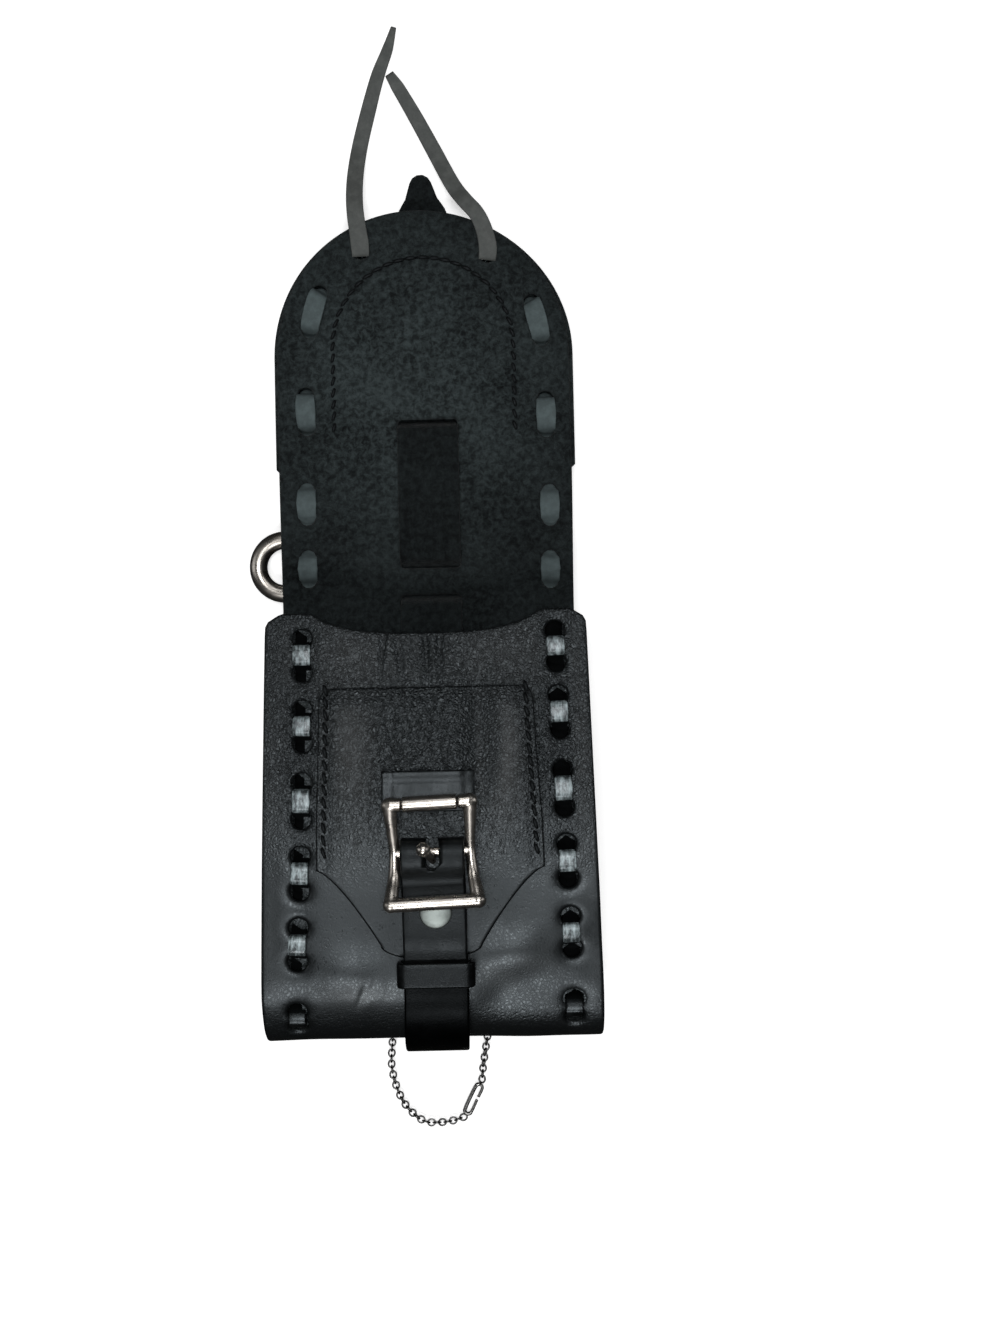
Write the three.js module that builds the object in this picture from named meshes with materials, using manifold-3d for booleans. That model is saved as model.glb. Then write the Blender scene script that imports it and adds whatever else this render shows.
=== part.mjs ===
// A black leather belt pouch, lying on its back with its flap thrown open.
// Millimetres. +X is across the pouch, +Y runs from the pouch's base towards the flap's end, +Z is up.
// The origin is under the middle of the belt loop, on the surface that the pouch lies on.
//
// One long panel of leather makes the flap, the back, the round base and the front. Two gussets close
// its sides, a lace on each side sews it all together, and one long strap is threaded through it: the
// strap's tip closes the flap, its middle is the belt loop, and its other end holds the buckle.

import * as THREE from "three";
import { mergeVertices } from "three/addons/utils/BufferGeometryUtils.js";
import Module from "manifold-3d";

const wasm = await Module();
wasm.setup();

// ---------------------------------------------------------------- driving dimensions

const gap = 0.3; // between pieces that touch

const leather = { panel: 2.2, facing: 1.6, patch: 1.4, gusset: 1.4, pocket: 1.6, strap: 1.8, tab: 0.9 };

const pouch = {
  flapEndY: 156.3, // the flap's round end
  mouthY: 52, // the fold between flap and back
  baseY: -41, // where the back starts to turn round the base
  backZ: 9.5, // mid thickness of the back
  depth: 26, // over the leather, back to front
  flapDrop: 2.7, // how much lower the flap's end lies
  mouthDrop: 4, // how much lower the front lies at the mouth
  scoopDepth: 5.4, // thumb notch in the front's edge
  scoopHalf: 23,
};

const halfWidth = { flap: 37.6, hinge: 37.3, mouth: 39.2, base: 41.6, shoulder: 3 };

const facing = { half: 38.6, endY: 156.9, archRise: 38, lowerY: 88.8 };
const archLean = -1.2; // how far the arch's top leans to the left
const flapPatch = { half: 25.5, archRise: 24, topY: 145.6, lowerY: 97, notchHalf: 9.2, notchY: 108 };
const gussetSide = { endY: 48.8, webX: 28.2, inset: 0.8 };

const lace = { width: 4.2, throatWidth: 3.5, thickness: 0.9, holeRadius: 2.7, holeStretch: 1.2 };

const pocket = {
  half: 27.8,
  topY: 33.4,
  shoulderY: -11,
  neckHalf: 11.8,
  neckY: -25.2,
  lobeRise: 15.5,
  endDepth: 6.5,
  corner: 3,
};

const strap = {
  width: 15.6,
  narrow: 14.8, // where it is folded round the buckle's bar
  tipY: 167.2,
  tipX: -0.2,
  // its pointed end, as [back from the tip, width]
  tip: [[0, 3.6], [0.8, 5.6], [3.4, 6.6], [6.2, 8.4], [9, 12], [14, 15], [24, 15.6]],
  floorZ: 0.9,
  slitLength: 5.2,
  slitSpare: 0.5,
};
const slit = { upper: 99.9, middle: 65.7, lower: 54.8, inside: 42 }; // y of the four slits
const slitX = 0.8; // the strap's middle where it is woven through them
const frontX = 1.1; // and where it crosses the front

const buckle = {
  turn: THREE.MathUtils.degToRad(2.2), // the buckle sits a little askew
  centreX: 0.9,
  barY: -5.8,
  barZ: 39.35,
  barRadius: 1.15,
  barHalf: 9,
  rollerReach: 11.7, // from the centre bar to the roller
  rollerLift: 0.4,
  rollerRadius: 1.85,
  rollerHalf: 6.5,
  axleRadius: 0.95,
  cornerX: 9.55, // the corners that hold the axle
  cornerRadius: 1.35,
  heelReach: 11.6, // from the centre bar to the heel bar
  heelLift: 4.1,
  heelHalf: 10.4,
  heelRadius: 1.6,
};

const prong = {
  rootRadius: 0.8,
  wrap: THREE.MathUtils.degToRad(225), // how far its root is rolled round the bar
  raise: THREE.MathUtils.degToRad(66),
  lean: -0.14, // sideways, for each millimetre of its length
  slotWidth: 3.3, // of the slot that lets it through the strap's fold
  slotLength: 8.2,
  slotHeight: 12,
};

const rivet = { x: 1.4, y: -20, headRadius: 3.9, headHeight: 0.9, rim: 0.3, shankRadius: 1.3 };
const rivetZ = { low: 36.9, seat: 40.65 };
const keeper = { y: -35.2, length: 6, half: 9.4, thickness: 1.3, lowZ: 35.1, highZ: 40.6 };
const bucklePatch = { half: 11.2, lowerY: 3.4, upperY: 13.2, thickness: 1.2 };

const ring = { x: -37.5, y: 65.2, radius: 7, tube: 2.3, lowZ: 2.4, highZ: 3.55, swing: [-100, 15] };
const tab = { width: 4.6, endX: -10, wireX: -30.7 };

const chain = { diameter: 1.8, stops: 64 };
const clasp = { halfWide: 0.86, wire: 0.32, reach: 4.2 };

// ---------------------------------------------------------------- solids and meshes

function solidOf(geometry) {
  const bare = geometry.index ? geometry.toNonIndexed() : geometry.clone();
  for (const name of Object.keys(bare.attributes)) if (name !== "position") bare.deleteAttribute(name);
  const merged = mergeVertices(bare, 1e-4);
  return new wasm.Manifold(
    new wasm.Mesh({
      numProp: 3,
      vertProperties: new Float32Array(merged.attributes.position.array),
      triVerts: new Uint32Array(merged.index.array),
    }),
  );
}

function geometryOf(solid) {
  const made = solid.getMesh();
  const geometry = new THREE.BufferGeometry();
  geometry.setAttribute("position", new THREE.BufferAttribute(new Float32Array(made.vertProperties), 3));
  geometry.setIndex(new THREE.BufferAttribute(new Uint32Array(made.triVerts), 1));
  const flat = geometry.toNonIndexed();
  flat.computeVertexNormals();
  return flat;
}

const joined = (parts) => parts.slice(1).reduce((sum, part) => sum.add(part), parts[0]);
const cut = (solid, tools) => tools.reduce((rest, tool) => rest.subtract(tool), solid);

// A closed solid from rings of points, each ring with the same count, capped at both ends.
function loft(rings) {
  const count = rings[0].length;
  const position = rings.flat().flatMap((p) => [p.x, p.y, p.z]);
  const index = [];
  for (let r = 0; r + 1 < rings.length; r++)
    for (let i = 0; i < count; i++) {
      const a = r * count + i;
      const b = r * count + ((i + 1) % count);
      index.push(a, b, b + count, a, b + count, a + count);
    }
  const last = (rings.length - 1) * count;
  for (let i = 1; i + 1 < count; i++) {
    index.push(0, i + 1, i);
    index.push(last, last + i, last + i + 1);
  }
  const geometry = new THREE.BufferGeometry();
  geometry.setAttribute("position", new THREE.Float32BufferAttribute(position, 3));
  geometry.setIndex(index);
  const solid = solidOf(geometry);
  return solid.volume() < 0 ? solidOf(turnedInsideOut(geometry)) : solid;
}

function turnedInsideOut(geometry) {
  const index = geometry.index.array;
  for (let i = 0; i < index.length; i += 3) [index[i + 1], index[i + 2]] = [index[i + 2], index[i + 1]];
  return geometry;
}

// A strip or a rod along a route of points: its section is scaled by width across and by thickness.
function ribbon(points, { width, thickness = width, across = xAxis, section = rectangle }) {
  const at = (value, i) => (Array.isArray(value) ? value[i] : value);
  const rings = points.map((point, i) => {
    const before = new THREE.Vector3().subVectors(point, points[Math.max(0, i - 1)]).normalize();
    const next = points[Math.min(points.length - 1, i + 1)];
    const after = new THREE.Vector3().subVectors(next, point).normalize();
    const along = new THREE.Vector3().addVectors(before, after).normalize();
    const mitre = Math.max(0.75, along.dot(i ? before : after));
    const side = at(across, i).clone();
    side.addScaledVector(along, -side.dot(along)).normalize();
    const up = new THREE.Vector3().crossVectors(side, along);
    return section.map(([a, b]) =>
      point
        .clone()
        .addScaledVector(side, (a * at(width, i)) / 2)
        .addScaledVector(up, (b * at(thickness, i)) / 2 / mitre),
    );
  });
  return loft(rings);
}

const xAxis = new THREE.Vector3(1, 0, 0);
const yAxis = new THREE.Vector3(0, 1, 0);
const zAxis = new THREE.Vector3(0, 0, 1);
const vector = (x, y, z) => new THREE.Vector3(x, y, z);
const rectangle = [[-1, -1], [1, -1], [1, 1], [-1, 1]];

const polygon = (sides) =>
  Array.from({ length: sides }, (_, i) => {
    const angle = ((i + 0.5) / sides) * 2 * Math.PI;
    return [Math.cos(angle), Math.sin(angle)];
  });

// A closed sheet: corner(u, v) gives { low, high }, its two faces, for u and v from 0 to 1.
function sheet(columns, rows, corner) {
  const position = [];
  const index = [];
  const id = (i, j, top) => (j * (columns + 1) + i) * 2 + top;
  for (let j = 0; j <= rows; j++)
    for (let i = 0; i <= columns; i++) {
      const { low, high } = corner(i / columns, j / rows);
      position.push(low.x, low.y, low.z, high.x, high.y, high.z);
    }
  const quad = (a, b, c, d) => index.push(a, b, c, a, c, d);
  for (let j = 0; j < rows; j++)
    for (let i = 0; i < columns; i++) {
      quad(id(i, j, 1), id(i + 1, j, 1), id(i + 1, j + 1, 1), id(i, j + 1, 1));
      quad(id(i, j, 0), id(i, j + 1, 0), id(i + 1, j + 1, 0), id(i + 1, j, 0));
    }
  for (let i = 0; i < columns; i++) {
    quad(id(i, 0, 0), id(i + 1, 0, 0), id(i + 1, 0, 1), id(i, 0, 1));
    quad(id(i, rows, 0), id(i, rows, 1), id(i + 1, rows, 1), id(i + 1, rows, 0));
  }
  for (let j = 0; j < rows; j++) {
    quad(id(0, j, 0), id(0, j, 1), id(0, j + 1, 1), id(0, j + 1, 0));
    quad(id(columns, j, 0), id(columns, j + 1, 0), id(columns, j + 1, 1), id(columns, j, 1));
  }
  const geometry = new THREE.BufferGeometry();
  geometry.setAttribute("position", new THREE.Float32BufferAttribute(position, 3));
  geometry.setIndex(index);
  const solid = solidOf(geometry);
  return solid.volume() < 0 ? solidOf(turnedInsideOut(geometry)) : solid;
}

// A prism over an outline in x and y, from one height to another.
function prism(outline, lowZ, highZ) {
  const shape = new THREE.Shape(outline.map(([x, y]) => new THREE.Vector2(x, y)));
  const geometry = new THREE.ExtrudeGeometry(shape, { depth: highZ - lowZ, bevelEnabled: false, steps: 1 });
  return solidOf(geometry.translate(0, 0, lowZ));
}

function boxSolid(width, length, height, x, y, z) {
  return solidOf(new THREE.BoxGeometry(width, length, height).translate(x, y, z));
}

// ---------------------------------------------------------------- the long panel's path

// s runs along the middle of the long panel. It is 0 where the back starts to turn round the base,
// below 0 on the back and the flap, and above bendLength on the front. lift is outwards from it.
const bendRadius = (pouch.depth - leather.panel) / 2;
const bendLength = Math.PI * bendRadius;
const bendSteps = 12;
const bendZ = pouch.backZ + bendRadius;
const frontZ = pouch.backZ + 2 * bendRadius;
const frontRun = pouch.mouthY - pouch.baseY;
const flapRun = pouch.flapEndY - pouch.mouthY;

const backS = (y) => pouch.baseY - y;
const frontS = (y) => bendLength + y - pouch.baseY;

function pathPoint(s) {
  if (s > bendLength) {
    const run = s - bendLength;
    const fall = pouch.mouthDrop * (run / frontRun) ** 2;
    const slope = (-2 * pouch.mouthDrop * run) / frontRun ** 2;
    return { y: pouch.baseY + run, z: frontZ - fall, slope, side: 1 };
  }
  const y = pouch.baseY - s;
  const beyond = Math.max(0, y - pouch.mouthY);
  const fall = pouch.flapDrop * (beyond / flapRun) ** 2;
  return { y, z: pouch.backZ - fall, slope: (-2 * pouch.flapDrop * beyond) / flapRun ** 2, side: -1 };
}

function bend(s, x, lift) {
  if (s >= 0 && s <= bendLength) {
    const angle = s / bendRadius;
    const radius = bendRadius + lift;
    return new THREE.Vector3(x, pouch.baseY - radius * Math.sin(angle), bendZ - radius * Math.cos(angle));
  }
  const { y, z, slope, side } = pathPoint(s);
  const stretch = Math.hypot(1, slope);
  return new THREE.Vector3(x, y - (side * lift * slope) / stretch, z + (side * lift) / stretch);
}

const half = leather.panel / 2;

// Half of the long panel's width.
function halfWidthAt(s) {
  const { lerp, smoothstep, clamp } = THREE.MathUtils;
  if (s > 0) {
    const run = clamp((s - bendLength) / frontRun, 0, 1);
    const toEnd = frontS(pouch.mouthY) - s;
    return lerp(halfWidth.base, halfWidth.mouth, run) - 4.5 * clamp(1 - toEnd / halfWidth.shoulder, 0, 1);
  }
  const y = pouch.baseY - s;
  const back = lerp(halfWidth.base, halfWidth.hinge, smoothstep(y, pouch.baseY, pouch.mouthY));
  const flap = lerp(back, halfWidth.flap, smoothstep(y, pouch.mouthY, facing.lowerY));
  return (flap * archHalf(y, halfWidth.flap, pouch.flapEndY, facing.archRise)) / halfWidth.flap;
}

// How far up an arch y is, from 0 where its sides start to 1 at its top.
const archUp = (y, topY, rise) => THREE.MathUtils.clamp((y - topY + rise) / rise, 0, 1);

// Half the width of a panel whose end is half an ellipse, at y.
const archHalf = (y, halfWide, topY, rise) => {
  const up = archUp(y, topY, rise);
  return Math.max(2, halfWide * Math.sqrt(1 - up ** 2));
};

// Places along an elliptical end, close together where it curves most.
const archStops = (topY, rise, count) =>
  Array.from({ length: count + 1 }, (_, i) => topY - rise + rise * Math.sin((i / count) * (Math.PI / 2)));

const evenly = (from, to, count) =>
  Array.from({ length: count + 1 }, (_, i) => from + ((to - from) * i) / count);

// A panel of leather that follows the path through the stations in s.
function panel(stations, widthAt, lowLift, highLift) {
  return sheet(1, stations.length - 1, (u, v) => {
    const s = stations[Math.round(v * (stations.length - 1))];
    const x = leanAt(s) + (2 * u - 1) * widthAt(s);
    return { low: bend(s, x, lowLift), high: bend(s, x, highLift) };
  });
}

// The flap's arch leans a little to one side.
const leanAt = (s) => archLean * archUp(pouch.baseY - s, facing.endY, facing.archRise) ** 2;

// ---------------------------------------------------------------- lace holes and slits

// Each side's holes from the flap's end to the mouth, as [s, x]. The lace starts inside the flap.
const flapHoles = {
  left: [[145.5, -15.5], [135.9, -26.2], [123.2, -29.8], [109.7, -30.5], [97.2, -30.2], [84.8, -30.6],
    [74.4, -30.6], [67.5, -30.6], [58.7, -30.6]],
  right: [[143.9, 17.1], [134.2, 27.5], [121.4, 30.8], [108.4, 31.2], [95.6, 31.3], [84.5, 31.7],
    [74.1, 31.7], [67.8, 31.5], [57.8, 31.5]],
};
const frontHoles = {
  left: [-34.5, -26.4, -16.6, -8.3, 1.5, 10.3, 19.6, 27.5, 36.8, 44.9],
  right: [-32.4, -24.6, -14.8, -6.5, 3.2, 12.1, 21.3, 29.5, 38.8, 46.6],
};
const baseHoles = { left: [28.5, 33.2], right: [29.7, 34.6] }; // s of the dash on the round base
const underBase = [4, 13]; // and of the dash beneath it
const backHoleCount = 11; // on the back, above that
const laceX = { mouth: 31.3, base: 34.3 };

// How far out the lace runs: it comes in towards the mouth, on the front and on the back.
function lacedX(s) {
  const run = s > 0 ? (s - bendLength) / frontRun : -s / frontRun;
  return THREE.MathUtils.lerp(laceX.base, laceX.mouth, THREE.MathUtils.clamp(run, 0, 1));
}

function holesOf(side) {
  const sign = side === "left" ? -1 : 1;
  const flap = flapHoles[side].map(([y, x]) => [backS(y), x]);
  const first = flap[flap.length - 1][0];
  const back = evenly(first, underBase[0], backHoleCount + 1).slice(1, -1);
  const rest = [...back, ...underBase, ...baseHoles[side], ...frontHoles[side].map(frontS)];
  return [...flap, ...rest.map((s) => [s, sign * lacedX(s)])];
}

const holes = { left: holesOf("left"), right: holesOf("right") };
const lacePast = 4; // how far past an edge a lace hole can sit and still meet it

const toolReach = 5; // how far a cutting tool reaches to each side of the leather

// The tool that cuts a lace hole: a six-sided hole, square to the leather.
function holeTool([s, x], turn = 0) {
  const ring = (lift) =>
    polygon(6).map(([a, b]) => {
      const across = a * lace.holeRadius;
      const along = b * lace.holeRadius * lace.holeStretch;
      return bend(
        s + along * Math.cos(turn) - across * Math.sin(turn),
        x + across * Math.cos(turn) + along * Math.sin(turn),
        lift,
      );
    });
  return loft([ring(-toolReach), ring(toolReach)]);
}

// The way that the lace runs through a hole, from the holes before and after it.
function laceTurn(list, i) {
  const [fromS, fromX] = list[Math.max(0, i - 1)];
  const [toS, toX] = list[Math.min(list.length - 1, i + 1)];
  return Math.atan2(toX - fromX, toS - fromS);
}

const holeTools = (side, keep) =>
  holes[side].flatMap((hole, i) => (keep(hole[0]) ? [holeTool(hole, laceTurn(holes[side], i))] : []));

const slitTool = (y) => {
  const { y: middle, z } = pathPoint(backS(y));
  return boxSolid(strap.width + 2 * strap.slitSpare, strap.slitLength, 2 * toolReach, slitX, middle, z - 1);
};

// ---------------------------------------------------------------- leather pieces

function bodyPanel() {
  const stations = [
    ...archStops(pouch.flapEndY, facing.archRise, 12).reverse().map(backS),
    ...[108, 88.8, 76, 64, pouch.mouthY, 20, -12].map(backS),
    ...evenly(0, bendLength, bendSteps),
    ...[-24, 0, 24, 40, pouch.mouthY - halfWidth.shoulder, pouch.mouthY].map(frontS),
  ];
  const whole = panel(stations, halfWidthAt, -half, half);
  const scoop = solidOf(
    new THREE.CylinderGeometry(1, 1, 12, 20)
      .rotateX(Math.PI / 2)
      .scale(pouch.scoopHalf, pouch.scoopDepth, 1)
      .translate(0, pouch.mouthY, frontZ - pouch.mouthDrop),
  );
  const slits = Object.values(slit).map(slitTool);
  return cut(whole, [scoop, ...slits, ...holeTools("left", () => true), ...holeTools("right", () => true)]);
}

function flapFacing() {
  const { endY, archRise, lowerY } = facing;
  const stations = [...archStops(endY, archRise, 12).reverse(), 108, lowerY];
  const widthAt = (s) => archHalf(pouch.baseY - s, facing.half, endY, archRise);
  const low = half + gap;
  const whole = panel(stations.map(backS), widthAt, low, low + leather.facing);
  const onFacing = (s) => pouch.baseY - s > lowerY - lace.holeRadius;
  const punched = ["left", "right"].flatMap((side) => holeTools(side, onFacing));
  return cut(whole, [slitTool(slit.upper), ...punched]);
}

function flapPatchSolid() {
  const { half: halfWide, archRise, topY, lowerY, notchHalf, notchY } = flapPatch;
  const stations = [...archStops(topY, archRise, 10).reverse(), 108, lowerY];
  const low = half + gap + leather.facing + gap;
  const widthAt = (s) => archHalf(pouch.baseY - s, halfWide, topY, archRise);
  const notch = boxSolid(2 * notchHalf, 2 * (notchY - lowerY), 12, slitX, lowerY, pouch.backZ - 5);
  return panel(stations.map(backS), widthAt, low, low + leather.patch).subtract(notch);
}

// A gusset is moulded: a flat side with a flange that is laced to the long panel all the way round.
function gusset(side) {
  const sign = side === "left" ? -1 : 1;
  const { endY, webX, inset } = gussetSide;
  const high = -half - gap;
  const low = high - leather.gusset;
  const stations = [
    ...[endY, 20, -12].map(backS),
    ...evenly(0, bendLength, bendSteps),
    ...[-12, 10, 30, endY].map(frontS),
  ];
  const flange = sheet(1, stations.length - 1, (u, v) => {
    const s = stations[Math.round(v * (stations.length - 1))];
    const x = sign * THREE.MathUtils.lerp(webX - leather.gusset, halfWidthAt(s) - inset, u);
    return { low: bend(s, x, low), high: bend(s, x, high) };
  });
  const outline = stations.map((s) => bend(s, 0, high));
  const ringAt = (x) => outline.map((p) => new THREE.Vector3(x, p.y, p.z));
  const web = loft([ringAt(sign * (webX - leather.gusset)), ringAt(sign * webX)]);
  const onGusset = (s) => s > backS(endY + lacePast);
  return cut(joined([flange, web]), holeTools(side, onGusset));
}

function frontPocket() {
  const { half: halfWide, topY, shoulderY, neckHalf, neckY, lobeRise, endDepth, corner } = pocket;
  const side = (sign) => {
    const reach = halfWide - neckHalf;
    const curve = Array.from({ length: 9 }, (_, i) => {
      const angle = (i / 8) * (Math.PI / 2);
      return [sign * (halfWide - reach * Math.sin(angle)), shoulderY - lobeRise * (1 - Math.cos(angle))];
    });
    return [[sign * (halfWide - corner), topY], [sign * halfWide, topY - corner], ...curve];
  };
  const end = Array.from({ length: 7 }, (_, i) => {
    const angle = Math.PI + ((i + 1) / 8) * Math.PI;
    return [neckHalf * Math.cos(angle), neckY + endDepth * Math.sin(angle)];
  });
  const outline = [...side(-1), ...end, ...side(1).reverse()];
  return overFront(outline, half + gap, leather.pocket);
}

// A flat piece on the front, bent to lie on it.
function overFront(outline, lift, thickness) {
  return prism(outline, lift, lift + thickness)
    .refineToLength(18)
    .warp((p) => {
      const at = bend(frontS(p[1]), p[0], p[2]);
      [p[0], p[1], p[2]] = [at.x, at.y, at.z];
    });
}

function bucklePatchSolid() {
  const { half: halfWide, lowerY, upperY, thickness } = bucklePatch;
  const outline = [[-halfWide, lowerY], [halfWide, lowerY], [halfWide, upperY], [-halfWide, upperY]];
  return overFront(outline, half + gap + leather.pocket + gap, thickness);
}

// ---------------------------------------------------------------- the lace

const laceHalf = lace.thickness / 2;
const laceTop = half + gap + laceHalf + 0.1;

function outerLift(s) {
  const onFacing = s < 0 && pouch.baseY - s > facing.lowerY - 0.5;
  return laceTop + (onFacing ? gap + leather.facing : 0);
}

const innerLift = (s) => -laceTop - (s > backS(gussetSide.endY + lacePast) ? gap + leather.gusset : 0);

// The lace's stations: { s, x, lift, width } from the flap's end to the mouth.
function laceRoute(list) {
  const bendIn = 0.7;
  const bendOut = 1.8;
  const sink = 0.75;
  const route = [];
  list.forEach(([s, x], i) => {
    const goesOut = i % 2 === 0;
    const sign = goesOut ? 1 : -1;
    const from = goesOut ? innerLift(s) : outerLift(s);
    const to = goesOut ? outerLift(s) : innerLift(s);
    const [beforeS, beforeX] = stepTowards(list, i, i - 1);
    const [afterS, afterX] = stepTowards(list, i, i + 1);
    const place = (dirS, dirX, reach, lift, width) =>
      route.push({ s: s + dirS * reach, x: x + dirX * reach, lift, width, turn: laceTurn(list, i) });
    if (i) {
      place(beforeS, beforeX, bendOut, from, lace.width);
      place(beforeS, beforeX, bendIn, from + sign * sink, lace.throatWidth);
    } else place(0, 0, 0, 0.4, lace.throatWidth);
    place(afterS, afterX, bendIn, to - sign * sink, lace.throatWidth);
    place(afterS, afterX, bendOut, to, lace.width);
    if (i + 1 < list.length) route.push(...stopsBetween(list[i], list[i + 1], goesOut, laceTurn(list, i)));
    else place(afterS, afterX, 4, to, lace.width);
  });
  return route;
}

// The unit step from one hole towards another. Past the end of the list it keeps its way.
function stepTowards(list, i, j) {
  const [s, x] = list[i];
  const beyond = j < 0 || j >= list.length;
  const [otherS, otherX] = list[beyond ? 2 * i - j : j];
  const length = Math.hypot(otherS - s, otherX - x) * (beyond ? -1 : 1);
  return [(otherS - s) / length, (otherX - x) / length];
}

// Where a run needs more points: round the base, and where the facing ends beneath it.
function stopsBetween([s0, x0], [s1, x1], outside, turn) {
  const clear = 2.4;
  const edge = backS(facing.lowerY - 0.45);
  const onBend = evenly(0, bendLength, bendSteps).filter((s) => s > s0 + clear && s < s1 - clear);
  const atEdge = outside && edge > s0 + clear && edge < s1 - 1 ? [edge] : [];
  return [...onBend, ...atEdge].map((s) => ({
    s,
    x: x0 + ((x1 - x0) * (s - s0)) / (s1 - s0),
    lift: outside ? outerLift(s) : innerLift(s),
    width: lace.width,
    turn,
  }));
}

function wovenLace(side) {
  const route = laceRoute(holes[side]);
  return ribbon(
    route.map(({ s, x, lift }) => bend(s, x, lift)),
    {
      width: route.map((stop) => stop.width),
      thickness: lace.thickness,
      across: route.map(({ s, x, turn }) => {
        const beside = bend(s - Math.sin(turn), x + Math.cos(turn), 0);
        return beside.sub(bend(s, x, 0));
      }),
    },
  );
}

// Each loose end comes up through its hole, crosses the flap's edge and lies on the ground.
const tails = {
  left: {
    route: [
      vector(-15.5, 145.3, 8.4), vector(-15.7, 147.2, 9.1), vector(-16.2, 151.8, 9),
      vector(-16.7, 156.5, 8.9),
      vector(-16.9, 164, 5.4), vector(-16, 173.8, 0.9), vector(-13.3, 184.6, 0.6), vector(-10.5, 194.1, 0.6),
      vector(-7.9, 200.7, 0.6), vector(-6.2, 206.3, 0.6),
    ],
    width: [3.6, 4.2, 4.4, 4.4, 4.3, 4.1, 3.9, 3.5, 2.8, 1.4],
  },
  right: {
    route: [
      vector(17.2, 143.7, 8.4), vector(17.5, 145.7, 9.1), vector(16.4, 150.5, 9), vector(14.6, 154.6, 9),
      vector(11.6, 158.4, 7.9), vector(8.8, 162.9, 4.8), vector(3.6, 173.8, 0.9), vector(-0.9, 182.5, 0.6),
      vector(-5.5, 190.7, 0.6), vector(-7.6, 194.1, 0.6),
    ],
    width: [3.6, 4.1, 4.1, 4.1, 4.1, 4.1, 4, 3.8, 3.4, 2.4],
  },
};

function laceTail(side) {
  const { route, width } = tails[side];
  const middles = new THREE.CatmullRomCurve3(route);
  const steps = 22;
  const stops = evenly(0, 1, steps);
  const widthAt = (t) => {
    const i = Math.min(width.length - 2, Math.floor(t * (width.length - 1)));
    return THREE.MathUtils.lerp(width[i], width[i + 1], t * (width.length - 1) - i);
  };
  const points = stops.map((t) => middles.getPoint(t));
  const across = stops.map((t) => new THREE.Vector3().crossVectors(middles.getTangent(t), zAxis));
  return ribbon(points, { width: stops.map(widthAt), thickness: lace.thickness, across });
}

// ---------------------------------------------------------------- the long strap

const strapHalf = leather.strap / 2;

// The stops where the strap goes through a slit, from one face of the leather to the other.
function throughSlit(y, outerLiftAt, inwards) {
  const [near, far] = [1, 4];
  const above = strapHalf + 0.55;
  const { z } = pathPoint(backS(y));
  const inner = z + half + above;
  const outer = z - outerLiftAt - above;
  const slump = 0.6;
  const stops = [[far, outer], [near, outer + slump], [-near, inner - slump], [-far, inner]];
  return stops.map(([step, height]) => [inwards ? y + step : y - step, height, strap.width, slitX]);
}

const facedLift = half + gap + leather.facing;

// From the pointed end, woven up the flap, along the ground, round the base and up to the buckle.
// Each stop is [y, z, width, x].
function strapRoute() {
  const { tip, tipY, tipX, floorZ, width, narrow } = strap;
  const tipLength = tip[tip.length - 1][0];
  const tipAt = (back) => THREE.MathUtils.lerp(tipX, slitX, back / tipLength);
  const pull = (angle, reachY, reachZ, middleY) => [
    middleY - reachY * Math.sin(angle),
    bendZ - reachZ * Math.cos(angle),
    width,
    THREE.MathUtils.lerp(0, frontX, angle / Math.PI),
  ];
  const lowZ = bendZ - floorZ;
  const highZ = 16.2;
  const folded = buckle.barRadius + gap + strapHalf;
  const foldY = buckle.barY + 0.2; // the fold hangs a little loose on the bar
  const fold = evenly(Math.PI / 2, -Math.PI / 2, 8).map((angle) => [
    foldY + folded * Math.cos(angle),
    buckle.barZ + folded * Math.sin(angle),
    narrow,
    buckle.centreX,
  ]);
  return [
    ...tip.map(([back, wide]) => [tipY - back, floorZ, wide, tipAt(back)]),
    [112, floorZ, width, slitX],
    [108, 1.6, width, slitX],
    ...throughSlit(slit.upper, facedLift, true),
    ...throughSlit(slit.middle, half, false).reverse(),
    ...throughSlit(slit.lower, half, true),
    ...throughSlit(slit.inside, half, false).reverse(),
    [33.5, 2.9, width, 0.5],
    [30.5, 1.3, width, 0.3],
    [27.5, floorZ, width, 0],
    [-33, floorZ, width, 0],
    ...evenly(0.1, Math.PI / 2, 6).map((angle) => pull(angle, 20.1, lowZ, -36)),
    ...evenly(Math.PI / 2, Math.PI, 7).slice(1).map((angle) => pull(angle, 15.1, highZ, pouch.baseY)),
    [-36, 37.65, width, frontX],
    [-32.4, 37.9, width, frontX],
    [-29.6, 38.9, narrow, frontX],
    [-26.6, 39.45, narrow, frontX],
    [-12.5, 39.5, narrow, buckle.centreX],
    [-9, 41.2, narrow, buckle.centreX],
    ...fold,
    [-9.4, 37, narrow, buckle.centreX],
    [-18, 37.2, narrow, frontX],
    [-25.4, 37.35, narrow, frontX],
  ];
}

function longStrap() {
  const route = strapRoute();
  const whole = ribbon(
    route.map(([y, z, , x]) => vector(x, y, z)),
    { width: route.map((stop) => stop[2]), thickness: leather.strap },
  );
  const { slotWidth, slotLength, slotHeight } = prong;
  const slotY = buckle.barY - 0.1; // clear of both walls of the fold
  const prongSlot = boxSolid(slotWidth, slotLength, slotHeight, buckle.centreX, slotY, buckle.barZ);
  const rivetHole = tube(rivet.shankRadius + gap, 10, 12).translate(rivet.x, rivet.y, rivetZ.seat);
  return cut(whole, [prongSlot, rivetHole]);
}

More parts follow.
